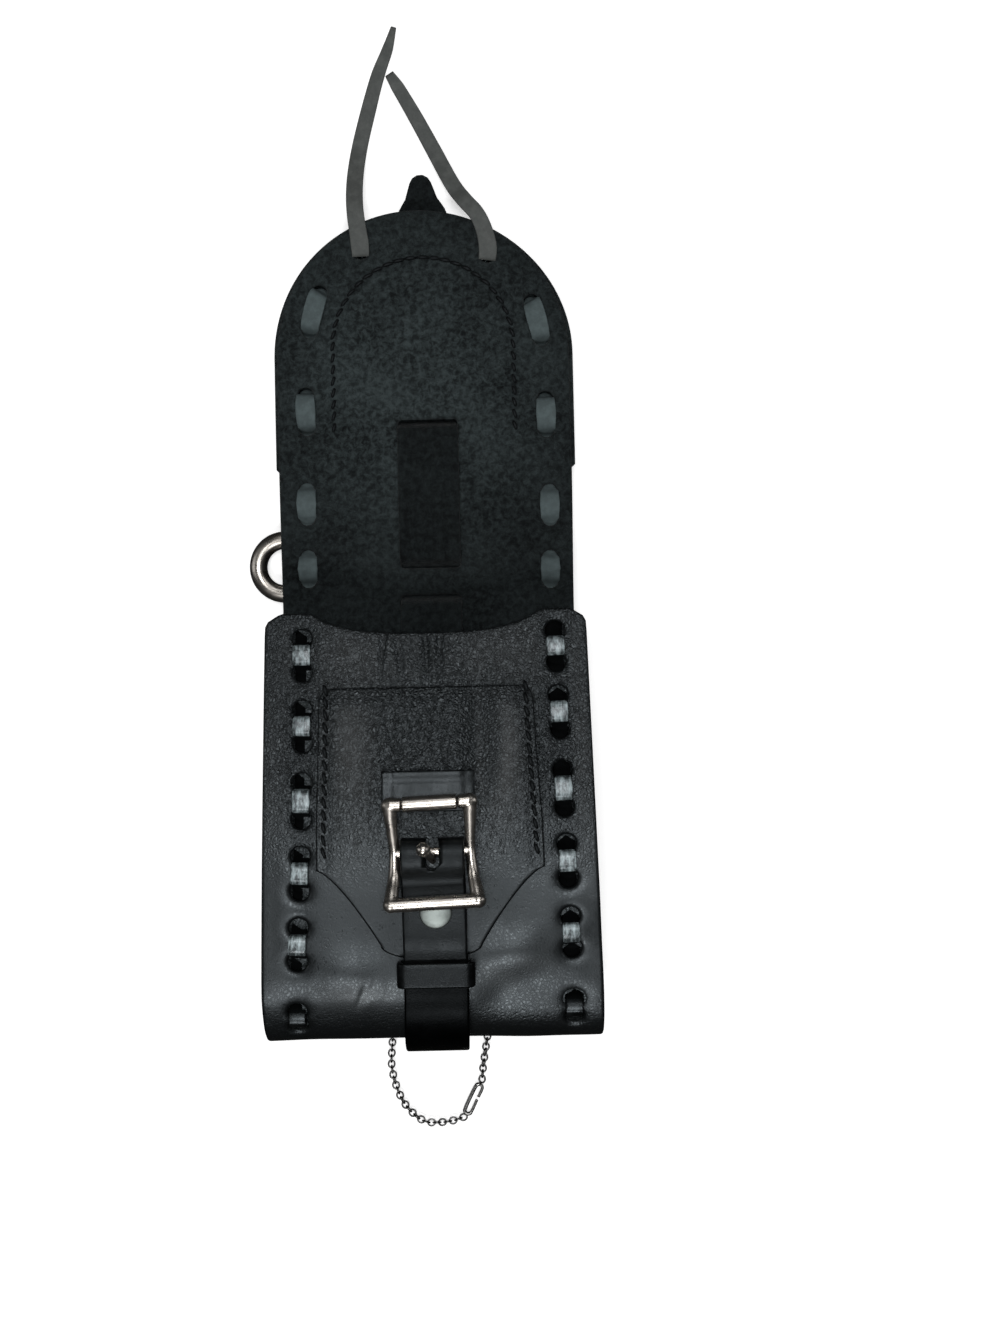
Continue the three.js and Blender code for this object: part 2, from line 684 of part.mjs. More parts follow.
function strapKeeper() {
  const { y, length, half: halfWide, thickness, lowZ, highZ } = keeper;
  const corner = 0.8;
  const outline = [[-halfWide, highZ - corner], [-halfWide + corner, highZ], [halfWide - corner, highZ],
    [halfWide, highZ - corner], [halfWide, lowZ], [-halfWide, lowZ]];
  const ringAt = (atY) => outline.map(([x, z]) => vector(x + frontX, atY, z));
  const outer = loft([ringAt(y - length / 2), ringAt(y + length / 2)]);
  const [width, height] = [2 * (halfWide - thickness), highZ - lowZ - 2 * thickness];
  return outer.subtract(boxSolid(width, 2 * length, height, frontX, y, (lowZ + highZ) / 2));
}

// A rod along Z, about its own middle.
function tube(radius, height, sides) {
  return solidOf(new THREE.CylinderGeometry(radius, radius, height, sides).rotateX(Math.PI / 2));
}

// ---------------------------------------------------------------- buckle and rivet

const octagon = polygon(8);

function atBuckle(solid) {
  return solid
    .rotate(0, 0, THREE.MathUtils.radToDeg(buckle.turn))
    .translate(buckle.centreX, buckle.barY, buckle.barZ);
}

const rod = (from, to, radius, sides = 10) =>
  ribbon([from, to], { width: radius * 2, section: polygon(sides), across: yAxis });

// The arms draw in at the bar and rise to the heel. Balls round off the frame's four corners.
function buckleFrame() {
  const { rollerReach, rollerLift, rollerHalf, cornerX, cornerRadius } = buckle;
  const { heelReach, heelLift, heelHalf, heelRadius } = buckle;
  const arm = [
    [cornerX, rollerReach, rollerLift, 2.6],
    [9.5, 9, 0.3, 2.5],
    [9.2, 6, 0.15, 2.2],
    [8.95, 0, 0, 2],
    [9.4, -5.6, 1, 2.4],
    [10, -9, 2.7, 2.9],
    [heelHalf, -heelReach, heelLift, 2.9],
  ];
  const side = (sign) => {
    const width = arm.map((stop) => stop[3]);
    const route = arm.map(([x, y, z]) => vector(sign * x, y, z));
    const corner = vector(sign * cornerX, rollerReach, rollerLift);
    return [
      ribbon(route, { width, section: octagon, across: zAxis }),
      rod(vector(sign * (rollerHalf + gap), rollerReach, rollerLift), corner, cornerRadius),
      ball(corner, cornerRadius),
      ball(vector(sign * heelHalf, -heelReach, heelLift), heelRadius),
    ];
  };
  const across = (halfLong, y, z, radius) => rod(vector(-halfLong, y, z), vector(halfLong, y, z), radius);
  const bars = [
    across(buckle.barHalf, 0, 0, buckle.barRadius),
    across(cornerX, rollerReach, rollerLift, buckle.axleRadius),
    across(heelHalf, -heelReach, heelLift, heelRadius),
  ];
  return atBuckle(joined([...side(-1), ...side(1), ...bars]));
}

const ball = (centre, radius) =>
  solidOf(new THREE.SphereGeometry(radius, 10, 6).translate(centre.x, centre.y, centre.z));

function buckleRoller() {
  const { rollerReach, rollerLift, rollerRadius, rollerHalf, axleRadius } = buckle;
  const across = (past, radius, sides) => {
    const end = (side) => vector(side * (rollerHalf + past), rollerReach, rollerLift);
    return rod(end(-1), end(1), radius, sides);
  };
  return atBuckle(across(0, rollerRadius, 16).subtract(across(1, axleRadius + gap)));
}

function buckleProng() {
  const { rootRadius, wrap, raise, lean } = prong;
  const around = buckle.barRadius + gap + rootRadius;
  const tangent = raise + Math.PI / 2;
  const root = evenly(tangent + wrap, tangent, 9).map((angle) =>
    vector(0, around * Math.cos(angle), around * Math.sin(angle)),
  );
  const leaves = root[root.length - 1];
  const way = vector(lean, Math.cos(raise), Math.sin(raise));
  const shaft = [[3, 1.9], [7, 1.9], [10.2, 2.3], [11.8, 2.3], [12.8, 1.2]]; // [reach, width]
  const points = [...root, ...shaft.map(([reach]) => leaves.clone().addScaledVector(way, reach))];
  const width = [...root.map(() => rootRadius * 2), ...shaft.map((stop) => stop[1])];
  return atBuckle(ribbon(points, { width, section: octagon }));
}

function chapeRivet() {
  const { x, y, headRadius, headHeight, rim, shankRadius } = rivet;
  const { low, seat } = rivetZ;
  const shank = [[0, low], [shankRadius, low], [shankRadius, seat]];
  const head = [[headRadius, seat], [headRadius, seat + rim], [headRadius * 0.8, seat + headHeight * 0.8]];
  const profile = [...shank, ...head, [0, seat + headHeight]];
  const lathe = new THREE.LatheGeometry(profile.map(([r, z]) => new THREE.Vector2(r, z)), 16);
  return solidOf(lathe.rotateX(Math.PI / 2).translate(x, y, 0));
}

// ---------------------------------------------------------------- ring and chain

const ringTilt = Math.atan2(ring.highZ - ring.lowZ, 2 * ring.radius);

function ringSolid(tubeRadius) {
  return solidOf(
    new THREE.TorusGeometry(ring.radius, tubeRadius, 8, 24)
      .rotateY(-ringTilt)
      .translate(ring.x, ring.y, (ring.lowZ + ring.highZ) / 2),
  );
}

// A strip of leather that is folded round the ring and sewn under the back. The ring swings in its fold.
function ringTab() {
  const { wireX, width, endX } = tab;
  const upperZ = pouch.backZ - half - gap - leather.tab / 2;
  const lowerZ = upperZ - leather.tab - gap;
  const around = ring.tube + gap + leather.tab / 2 - 0.05;
  const at = (x, z) => vector(x, ring.y, z);
  const turn = evenly(Math.PI / 2, (290 * Math.PI) / 180, 9).map((angle) =>
    at(wireX + around * Math.cos(angle), ring.highZ + around * Math.sin(angle)),
  );
  const points = [
    at(endX, upperZ), at(wireX + 6, upperZ), at(wireX + 3, upperZ - 0.5), ...turn, at(wireX + 3.4, 2.4),
    at(wireX + 5.6, 4.7), at(wireX + 8, lowerZ), at(endX, lowerZ),
  ];
  const [down, up] = ring.swing;
  const spare = 0.2; // between the ring and its fold
  const swept = evenly(down, up, 7).map((angle) =>
    ringSolid(ring.tube + spare)
      .translate(-wireX, 0, -ring.highZ)
      .rotate(0, angle, 0)
      .translate(wireX, 0, ring.highZ),
  );
  return cut(ribbon(points, { width, thickness: leather.tab, across: yAxis }), swept);
}

// The chain is a loop that passes between the strap and the base, and the clasp joins its ends.
const chainRoute = [
  vector(5.8, -79.9, 1.1), vector(3.6, -80.6, 1.1), vector(0.2, -81.1, 1.1), vector(-4.4, -80.7, 1.1),
  vector(-8.8, -77, 1.1), vector(-11.4, -72, 1.1), vector(-12.7, -66, 1.1), vector(-12.4, -60, 1.2),
  vector(-12, -55.5, 2.8), vector(-10.9, -51.5, 6.2), vector(-8.4, -49.4, 8.8), vector(-4, -48.9, 9),
  vector(0.5, -48.8, 9), vector(5.4, -48.9, 9), vector(9.8, -49.4, 8.8), vector(12, -51.5, 6.2),
  vector(12.9, -55.5, 2.8), vector(12.3, -60.3, 1.2), vector(11.3, -66.4, 1.1), vector(10.9, -70, 1.1),
];

function chainTube() {
  const curve = new THREE.CatmullRomCurve3(chainRoute);
  const points = evenly(0, 1, chain.stops).map((t) => curve.getPointAt(t));
  return ribbon(points, { width: chain.diameter, section: polygon(6), across: zAxis });
}

const [claspHead, claspTail] = [vector(10.4, -71.5, 1.1), vector(6.7, -78.9, 1.1)];

// A hook bent to a long C, lying flat between the chain's two ends.
function chainClasp() {
  const { halfWide, wire, reach } = clasp;
  const along = new THREE.Vector3().subVectors(claspTail, claspHead).normalize();
  const side = new THREE.Vector3().crossVectors(zAxis, along);
  const middle = new THREE.Vector3().addVectors(claspHead, claspTail).multiplyScalar(0.5);
  const cap = (sign) =>
    evenly(-Math.PI / 2, Math.PI / 2, 5).map((angle) => [
      sign * (reach - halfWide + halfWide * Math.cos(angle)),
      sign * halfWide * Math.sin(angle),
    ]);
  const route = [[-reach * 0.25, halfWide], ...cap(-1).reverse(), ...cap(1), [-reach * 0.05, halfWide]];
  const points = route.map(([a, b]) => middle.clone().addScaledVector(along, a).addScaledVector(side, b));
  return ribbon(points, { width: wire * 2, section: polygon(6), across: zAxis });
}

// ---------------------------------------------------------------- the whole pouch

const finish = {
  grain: { color: 0x3f4647, roughness: 0.6, metalness: 0 },
  suede: { color: 0x2b3232, roughness: 0.95, metalness: 0 },
  smooth: { color: 0x2c3233, roughness: 0.5, metalness: 0 },
  lace: { color: 0x4c5455, roughness: 0.4, metalness: 0 },
  nickel: { color: 0xb9bcb8, roughness: 0.25, metalness: 1 },
};

const group = new THREE.Group();
group.name = "belt_pouch";

function add(name, solid, look) {
  const material = new THREE.MeshStandardMaterial({ ...finish[look], name: look });
  const mesh = new THREE.Mesh(geometryOf(solid), material);
  mesh.name = name;
  group.add(mesh);
}

add("body_panel", bodyPanel(), "suede");
add("flap_facing", flapFacing(), "grain");
add("flap_patch", flapPatchSolid(), "grain");
add("gusset_left", gusset("left"), "grain");
add("gusset_right", gusset("right"), "grain");
add("front_pocket", frontPocket(), "grain");
add("buckle_patch", bucklePatchSolid(), "smooth");
add("long_strap", longStrap(), "smooth");
add("strap_keeper", strapKeeper(), "smooth");
add("lace_left", wovenLace("left"), "lace");
add("lace_right", wovenLace("right"), "lace");
add("lace_tail_left", laceTail("left"), "lace");
add("lace_tail_right", laceTail("right"), "lace");
add("buckle_frame", buckleFrame(), "nickel");
add("buckle_roller", buckleRoller(), "nickel");
add("buckle_prong", buckleProng(), "nickel");
add("chape_rivet", chapeRivet(), "nickel");
add("side_ring", ringSolid(ring.tube), "nickel");
add("ring_tab", ringTab(), "smooth");
add("chain", chainTube(), "nickel");
add("chain_clasp", chainClasp(), "nickel");

export default group;
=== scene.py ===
# A black leather belt pouch, lying open on its back: leather, laces, stitches, buckle, ring and chain.
import math
import random
import bmesh
import bpy
from mathutils import Matrix, Vector, kdtree, noise
from mathutils.geometry import delaunay_2d_cdt


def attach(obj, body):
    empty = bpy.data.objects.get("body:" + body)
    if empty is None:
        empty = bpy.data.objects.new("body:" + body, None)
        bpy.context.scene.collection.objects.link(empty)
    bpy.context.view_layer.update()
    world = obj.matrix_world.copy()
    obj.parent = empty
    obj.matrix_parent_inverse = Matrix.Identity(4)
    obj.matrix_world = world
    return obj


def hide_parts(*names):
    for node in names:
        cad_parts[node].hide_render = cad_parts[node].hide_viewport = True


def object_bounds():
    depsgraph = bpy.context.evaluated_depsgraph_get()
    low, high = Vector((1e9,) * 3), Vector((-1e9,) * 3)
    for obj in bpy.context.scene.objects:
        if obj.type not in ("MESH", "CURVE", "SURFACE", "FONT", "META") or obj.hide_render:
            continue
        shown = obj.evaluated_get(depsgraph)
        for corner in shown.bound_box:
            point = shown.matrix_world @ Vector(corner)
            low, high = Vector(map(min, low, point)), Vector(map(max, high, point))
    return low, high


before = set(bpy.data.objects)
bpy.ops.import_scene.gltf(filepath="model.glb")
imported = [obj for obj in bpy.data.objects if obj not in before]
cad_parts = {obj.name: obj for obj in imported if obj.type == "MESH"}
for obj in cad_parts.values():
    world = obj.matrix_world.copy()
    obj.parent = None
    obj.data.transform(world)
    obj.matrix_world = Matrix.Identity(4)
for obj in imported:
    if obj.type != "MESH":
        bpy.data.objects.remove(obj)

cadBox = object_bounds()
mm = 0.001  # lengths below are in millimetres, and meshes are in metres
patternScale = 0.01  # one unit of the pattern maps is 100 mm
random.seed(7)


# the camera looks straight down on the pouch, turned a little
cameraSet = {"x": 18.0, "y": 38.0, "height": 420.0, "roll": 1.28, "lens": 43.15}


def makeCamera(c):
    data = bpy.data.cameras.new("camera")
    data.sensor_fit = "VERTICAL"
    data.sensor_height = 36.0
    data.lens = c["lens"]
    data.clip_start = 0.01
    camera = bpy.data.objects.new("camera", data)
    camera.location = (c["x"] * mm, c["y"] * mm, c["height"] * mm)
    camera.rotation_euler = (0.0, 0.0, -math.radians(c["roll"]))
    bpy.context.scene.collection.objects.link(camera)
    bpy.context.scene.camera = camera


makeCamera(cameraSet)
print("camera placed")


# s runs along the middle of the long panel: below 0 on the back and flap, 0 to bendLength round the base,
# and above that on the front. lift is outwards from it.
path = {
    "flapEnd": 156.3, "mouth": 52.0, "base": -41.0, "backZ": 9.5, "depth": 26.0, "panel": 2.2,
    "flapDrop": 2.7, "mouthDrop": 4.0,
}
half = path["panel"] / 2
gap = 0.3
bendRadius = (path["depth"] - path["panel"]) / 2
bendLength = math.pi * bendRadius
bendZ = path["backZ"] + bendRadius
frontZ = path["backZ"] + 2 * bendRadius
frontRun = path["mouth"] - path["base"]
flapRun = path["flapEnd"] - path["mouth"]


def backS(y):
    return path["base"] - y


def frontS(y):
    return bendLength + y - path["base"]


def smooth(value, low, high):
    t = min(1.0, max(0.0, (value - low) / (high - low)))
    return t * t * (3 - 2 * t)


def onFrontY(s):
    return path["base"] + s - bendLength


def onBackY(s):
    return path["base"] - s


reliefSet = {
    "wander": 0.3, "ripple": 0.07, "crown": 0.5, "crownHalf": 42.0, "edgeFall": 0.35, "baseDip": 1.3,
    # the lower right corner falls away below a slanting fold through foldX, foldY
    "foldDrop": 1.3, "foldX": 12.5, "foldY": -31.0, "foldSlope": 0.49,
    # (x, distance up the front, half width, half length, depth), with a depth below 0 for a swelling
    "hollows": [
        (12.4, 62.0, 3.4, 14.0, 2.0), (-6.0, 60.0, 8.0, 15.0, 0.6), (-21.0, 5.0, 7.0, 5.5, -0.8),
        (21.0, 9.0, 8.0, 5.0, -0.8), (-13.0, 14.0, 6.0, 8.0, 0.5), (15.0, 20.0, 4.0, 7.0, 0.4),
        (2.0, 84.0, 8.0, 6.0, 0.5),
    ],
}


def relief(s, x):
    # Slow hollows and swellings that every layer of leather follows.
    r = reliefSet
    wander = noise.noise(Vector((x / 26.0, s / 34.0, 1.7)))
    ripple = noise.noise(Vector((x / 9.0, s / 12.0, 5.1)))
    swell = r["wander"] * wander + r["ripple"] * ripple
    run = s - bendLength
    if run > 0:
        crown = r["crown"] * (1 - (x / r["crownHalf"]) ** 2) * smooth(run, 4, 30)
        crown *= 1 - 0.6 * smooth(run, 70, 93)
        swell += crown - r["edgeFall"] * smooth(abs(x), 34, 40) * smooth(run, 0, 8)
    if run > -14:
        for hollowX, hollowRun, wide, long, depth in r["hollows"]:
            swell -= depth * math.exp(-((x - hollowX) / wide) ** 2 - ((run - hollowRun) / long) ** 2)
    if s > bendLength - 9:
        below = r["foldY"] + r["foldSlope"] * (x - r["foldX"]) - onFrontY(s)
        drop = r["foldDrop"] * smooth(below, 0, 14) * smooth(x, 7, 18)
        swell -= drop * smooth(s, bendLength - 9, bendLength)
    if s > 0:
        swell -= r["baseDip"] * math.exp(-((s - bendLength + 5) / 8) ** 2)
    return swell


def bend(s, x, lift):
    lift = lift + relief(s, x)
    if 0 <= s <= bendLength:
        angle = s / bendRadius
        radius = bendRadius + lift
        return Vector((x, path["base"] - radius * math.sin(angle), bendZ - radius * math.cos(angle)))
    if s > bendLength:
        run = s - bendLength
        z = frontZ - path["mouthDrop"] * (run / frontRun) ** 2
        slope = -2 * path["mouthDrop"] * run / frontRun ** 2
        y, side = path["base"] + run, 1
    else:
        y, side = onBackY(s), -1
        beyond = max(0.0, y - path["mouth"])
        z = path["backZ"] - path["flapDrop"] * (beyond / flapRun) ** 2
        slope = -2 * path["flapDrop"] * beyond / flapRun ** 2
    stretch = math.hypot(1, slope)
    return Vector((x, y - side * lift * slope / stretch, z + side * lift / stretch))


def newPiece(name, bm, materials, body="pouch", replaces=()):
    mesh = bpy.data.meshes.new(name)
    bm.to_mesh(mesh)
    bm.free()
    piece = bpy.data.objects.new(name, mesh)
    bpy.context.scene.collection.objects.link(piece)
    for material in materials:
        mesh.materials.append(material)
    mesh.shade_smooth()
    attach(piece, body)
    if replaces:
        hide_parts(*replaces)
    return piece


def scaleToMetres(bm):
    bmesh.ops.scale(bm, vec=(mm, mm, mm), verts=bm.verts)


def alongLoop(points, spacing):
    # The closed outline again, with points about one spacing apart.
    out = []
    for i, a in enumerate(points):
        b = points[(i + 1) % len(points)]
        count = max(1, round((b - a).length / spacing))
        out += [a.lerp(b, k / count) for k in range(count)]
    return out


def insideLoop(point, loop):
    inside = False
    for i, a in enumerate(loop):
        b = loop[i - 1]
        if (a.y > point.y) != (b.y > point.y):
            if point.x < (b.x - a.x) * (point.y - a.y) / (b.y - a.y) + a.x:
                inside = not inside
    return inside


def treeOf(points):
    tree = kdtree.KDTree(len(points))
    for i, p in enumerate(points):
        tree.insert((p.x, p.y, 0), i)
    tree.balance()
    return tree


def ringsInside(loop, depths, outwards):
    # Points beside the loop, where the leather's rounded edge needs them.
    area = sum(a.x * b.y - b.x * a.y for a, b in zip(loop, loop[1:] + loop[:1]))
    side = (1 if area > 0 else -1) * (-1 if outwards else 1)
    rings = []
    for i, p in enumerate(loop):
        along = (loop[(i + 1) % len(loop)] - loop[i - 1]).normalized()
        normal = Vector((-along.y, along.x)) * side
        rings += [(p + normal * depth, depth) for depth in depths]
    return rings


def cutSheet(outline, holes, spacing, edgeSpacing=0.9, fine=()):
    # A flat sheet in (x, s) with holes, solid, one millimetre thick: its low side is at z = 0.
    # fine lists (low x, high x, low s, high s, spacing) for places with small creases.
    holeDepths, edgeDepths = (0.25, 0.6, 1.1), (0.2, 0.5, 0.9)
    holeReach = 12  # further than this from a hole's centre, a face can't be inside it
    rim = alongLoop(outline, edgeSpacing)
    loops = [rim] + holes
    rimTree = treeOf(alongLoop(rim, 0.25))
    holeTree = treeOf([p for hole in holes for p in alongLoop(hole, 0.25)] or [Vector((1e4, 1e4))])
    points, edges = [], []
    for loop in loops:
        first = len(points)
        points += loop
        edges += [(first + i, first + (i + 1) % len(loop)) for i in range(len(loop))]
    beside = ringsInside(rim, edgeDepths, False)
    for hole in holes:
        beside += ringsInside(hole, holeDepths, True)

    def clear(p):
        return min(rimTree.find((p.x, p.y, 0))[2], holeTree.find((p.x, p.y, 0))[2])

    points += [p for p, depth in beside if clear(p) > 0.93 * depth and insideLoop(p, rim)]
    low = Vector((min(p.x for p in rim), min(p.y for p in rim)))
    high = Vector((max(p.x for p in rim), max(p.y for p in rim)))

    def crowded(p):
        return any(a < p.x < b and c < p.y < d for a, b, c, d, _ in fine)

    for lowX, highX, lowS, highS, step in [(low.x, high.x + spacing, low.y, high.y, spacing), *fine]:
        whole = step == spacing
        rowHeight = step * math.sqrt(3) / 2
        for row in range(int((highS - lowS) / rowHeight) + 1):
            for column in range(int((highX - lowX) / step) + 1):
                p = Vector((lowX + (column + 0.5 * (row % 2)) * step, lowS + row * rowHeight))
                if whole and crowded(p):
                    continue
                if clear(p) > edgeDepths[-1] + 0.45 * step and insideLoop(p, rim):
                    points.append(p)
    coords, _, faces, *_ = delaunay_2d_cdt(points, edges, [], 1, 1e-5)
    bm = bmesh.new()
    verts = [bm.verts.new((p.x, p.y, 0)) for p in coords]
    bounds = [(hole, sum(hole, Vector((0, 0))) / len(hole)) for hole in holes]
    for face in faces:
        middle = sum((coords[i] for i in face), Vector((0, 0))) / len(face)
        if any((middle - centre).length < holeReach and insideLoop(middle, hole) for hole, centre in bounds):
            continue
        if insideLoop(middle, rim):
            bm.faces.new([verts[i] for i in face])
    bmesh.ops.delete(bm, geom=[v for v in bm.verts if not v.link_faces], context="VERTS")
    bmesh.ops.recalc_face_normals(bm, faces=bm.faces)
    bmesh.ops.solidify(bm, geom=bm.faces[:], thickness=1.0)
    top = max(v.co.z for v in bm.verts)
    for v in bm.verts:
        v.co.z = 1.0 if v.co.z > top - 0.5 else 0.0
    bmesh.ops.recalc_face_normals(bm, faces=bm.faces)
    return bm, rimTree, holeTree


def formSheet(bm, rimTree, holeTree, low, high, edgeRound, press=None):
    # Rounds the sheet's edges and hole rims, gives it its thickness and bends it to its place.
    # Faces keep 0 for the outer side, 1 for the inner side and 2 for the cut edge.
    uvLayer = bm.loops.layers.uv.new("pattern")
    flat = {v: (v.co.x, v.co.y) for v in bm.verts}
    for face in bm.faces:
        heights = [v.co.z for v in face.verts]
        face.material_index = 0 if min(heights) > 0.5 else 1 if max(heights) < 0.5 else 2
        for loop in face.loops:
            x, s = flat[loop.vert]
            loop[uvLayer].uv = (x * patternScale, s * patternScale)
    middle, thick = (low + high) / 2, (high - low) / 2
    rimSink, rimReach = 0.38, 1.1
    for v in bm.verts:
        x, s = flat[v]
        outer = v.co.z > 0.5
        toRim = rimTree.find((x, s, 0))[2]
        toHole = holeTree.find((x, s, 0))[2]
        near = min(toRim, toHole)
        drop = edgeRound - math.sqrt(max(0.0, edgeRound ** 2 - max(0.0, edgeRound - near) ** 2))
        drop += rimSink * math.exp(-(toHole / rimReach) ** 2)
        drop = min(drop, 0.9 * thick)
        lift = middle + (thick - drop) * (1 if outer else -1)
        if press:
            lift += press(s, x, outer)
        v.co = bend(s, x, lift)
    bmesh.ops.recalc_face_normals(bm, faces=bm.faces)
    scaleToMetres(bm)
    return bm


def sweep(points, widths, thicknesses, across, section, close=False):
    # A skin round a route: the section is turned with the route and scaled by width and thickness.
    bm = bmesh.new()
    uvLayer = bm.loops.layers.uv.new("pattern")
    rings, travel, count = [], [0.0], len(points)
    for i in range(1, count):
        travel.append(travel[-1] + (points[i] - points[i - 1]).length)
    for i, point in enumerate(points):
        before = points[i - 1] if i or close else point
        after = points[(i + 1) % count] if i + 1 < count or close else point
        along = (after - before).normalized()
        side = across[i] - along * across[i].dot(along)
        side.normalize()
        up = side.cross(along)
        wide, thick = widths[i], thicknesses[i]
        rings.append([bm.verts.new(point + side * a * wide / 2 + up * b * thick / 2) for a, b in section])
    sides = len(section)
    for i in range(count if close else count - 1):
        here, there = rings[i], rings[(i + 1) % count]
        for k in range(sides):
            m = (k + 1) % sides
            face = bm.faces.new((here[k], here[m], there[m], there[k]))
            start, end = travel[i], travel[min(i + 1, count - 1)]
            for loop, corner, reach in zip(face.loops, (k, m, m, k), (start, start, end, end)):
                loop[uvLayer].uv = (section[corner][0] * widths[i] / 2 * patternScale, reach * patternScale)
    if not close:
        bm.faces.new(rings[0][::-1])
        bm.faces.new(rings[-1])
    bmesh.ops.recalc_face_normals(bm, faces=bm.faces)
    return bm


def roundedBar(corner, ratio, cornerSteps, flatSteps):
    # A section 2 wide and 2 high with round corners. ratio is thickness to width, so the corners stay round.
    points = []
    cx, cy = corner * ratio, corner
    for qx, qy, start in ((1, 1, 0), (-1, 1, 90), (-1, -1, 180), (1, -1, 270)):
        arc = []
        for k in range(cornerSteps + 1):
            a = math.radians(start + 90 * k / cornerSteps)
            arc.append((qx * (1 - cx) + cx * math.cos(a), qy * (1 - cy) + cy * math.sin(a)))
        if start in (90, 270):
            last, first = points[-1], arc[0]
            for k in range(1, flatSteps):
                points.append(tuple(last[j] + (first[j] - last[j]) * k / flatSteps for j in (0, 1)))
        points += arc
    return points


def roundRod(sides):
    return [(math.cos(2 * math.pi * k / sides), math.sin(2 * math.pi * k / sides)) for k in range(sides)]


def curveThrough(points, spacing):
    # A smooth route through the points (centripetal), with the places of the points along it, 0 to 1.
    ends = [points[0] * 2 - points[1]] + list(points) + [points[-1] * 2 - points[-2]]
    route, marks = [], []
    for i in range(1, len(ends) - 2):
        p0, p1, p2, p3 = ends[i - 1: i + 3]
        t1 = max(1e-4, (p1 - p0).length) ** 0.5
        t2 = t1 + max(1e-4, (p2 - p1).length) ** 0.5
        t3 = t2 + max(1e-4, (p3 - p2).length) ** 0.5
        steps = max(1, round((p2 - p1).length / spacing))
        for k in range(steps):
            t = t1 + (t2 - t1) * k / steps
            a1 = p0 * ((t1 - t) / t1) + p1 * (t / t1)
            a2 = p1 * ((t2 - t) / (t2 - t1)) + p2 * ((t - t1) / (t2 - t1))
            a3 = p2 * ((t3 - t) / (t3 - t2)) + p3 * ((t - t2) / (t3 - t2))
            b1 = a1 * ((t2 - t) / t2) + a2 * (t / t2)
            b2 = a2 * ((t3 - t) / (t3 - t1)) + a3 * ((t - t1) / (t3 - t1))
            route.append(b1 * ((t2 - t) / (t2 - t1)) + b2 * ((t - t1) / (t2 - t1)))
            marks.append(i - 1 + k / steps)
    route.append(points[-1].copy())
    marks.append(len(points) - 1.0)
    return route, marks


def atMark(values, mark):
    i = min(len(values) - 2, int(mark))
    t = mark - i
    return values[i] * (1 - t) + values[i + 1] * t


def mergeInto(bm, other):
    mesh = bpy.data.meshes.new("part")
    other.to_mesh(mesh)
    other.free()
    bm.from_mesh(mesh)
    bpy.data.meshes.remove(mesh)


# every material is put together from these
def feed(tree, value, socket):
    # A constant goes on the socket itself, and another node's output is linked to it.
    if isinstance(value, bpy.types.NodeSocket):
        tree.links.new(value, socket)
    else:
        socket.default_value = value


def addNode(tree, kind, inputs=(), **settings):
    node = tree.nodes.new(kind)
    for name, value in settings.items():
        setattr(node, name, value)
    for socket, value in dict(inputs).items():
        feed(tree, value, node.inputs[socket])
    return node


def mathNode(tree, operation, a, b=None):
    inputs = {0: a} if b is None else {0: a, 1: b}
    return addNode(tree, "ShaderNodeMath", inputs, operation=operation).outputs[0]


def plus(tree, a, b):
    return mathNode(tree, "ADD", a, b)


def minus(tree, a, b):
    return mathNode(tree, "SUBTRACT", a, b)


def times(tree, a, b):
    return mathNode(tree, "MULTIPLY", a, b)


def vectorNode(tree, operation, inputs):
    return addNode(tree, "ShaderNodeVectorMath", inputs, operation=operation)


def mixColors(tree, factor, a, b):
    # sockets 0, 6 and 7 are the factor and the two colours
    return addNode(tree, "ShaderNodeMix", {0: factor, 6: a, 7: b}, data_type="RGBA").outputs[2]


def noiseNode(tree, vector, scale, detail, roughness, distortion=0.0):
    inputs = {"Vector": vector, "Scale": scale, "Detail": detail, "Roughness": roughness,
              "Distortion": distortion}
    return addNode(tree, "ShaderNodeTexNoise", inputs).outputs["Fac"]


def spread(tree, value, low, high, toLow=0.0, toHigh=1.0):
    inputs = {"Value": value, "From Min": low, "From Max": high, "To Min": toLow, "To Max": toHigh}
    return addNode(tree, "ShaderNodeMapRange", inputs).outputs["Result"]


def makeGroup(name, inputs, outputs):
    # Every group reads a Vector, and inputs adds floats with their usual values.
    group = bpy.data.node_groups.new(name, "ShaderNodeTree")
    group.interface.new_socket(name="Vector", in_out="INPUT", socket_type="NodeSocketVector")
    for label, value in inputs.items():
        socket = group.interface.new_socket(name=label, in_out="INPUT", socket_type="NodeSocketFloat")
        socket.default_value = value
    for label in outputs:
        group.interface.new_socket(name=label, in_out="OUTPUT", socket_type="NodeSocketFloat")
    return group, group.nodes.new("NodeGroupInput").outputs, group.nodes.new("NodeGroupOutput").inputs


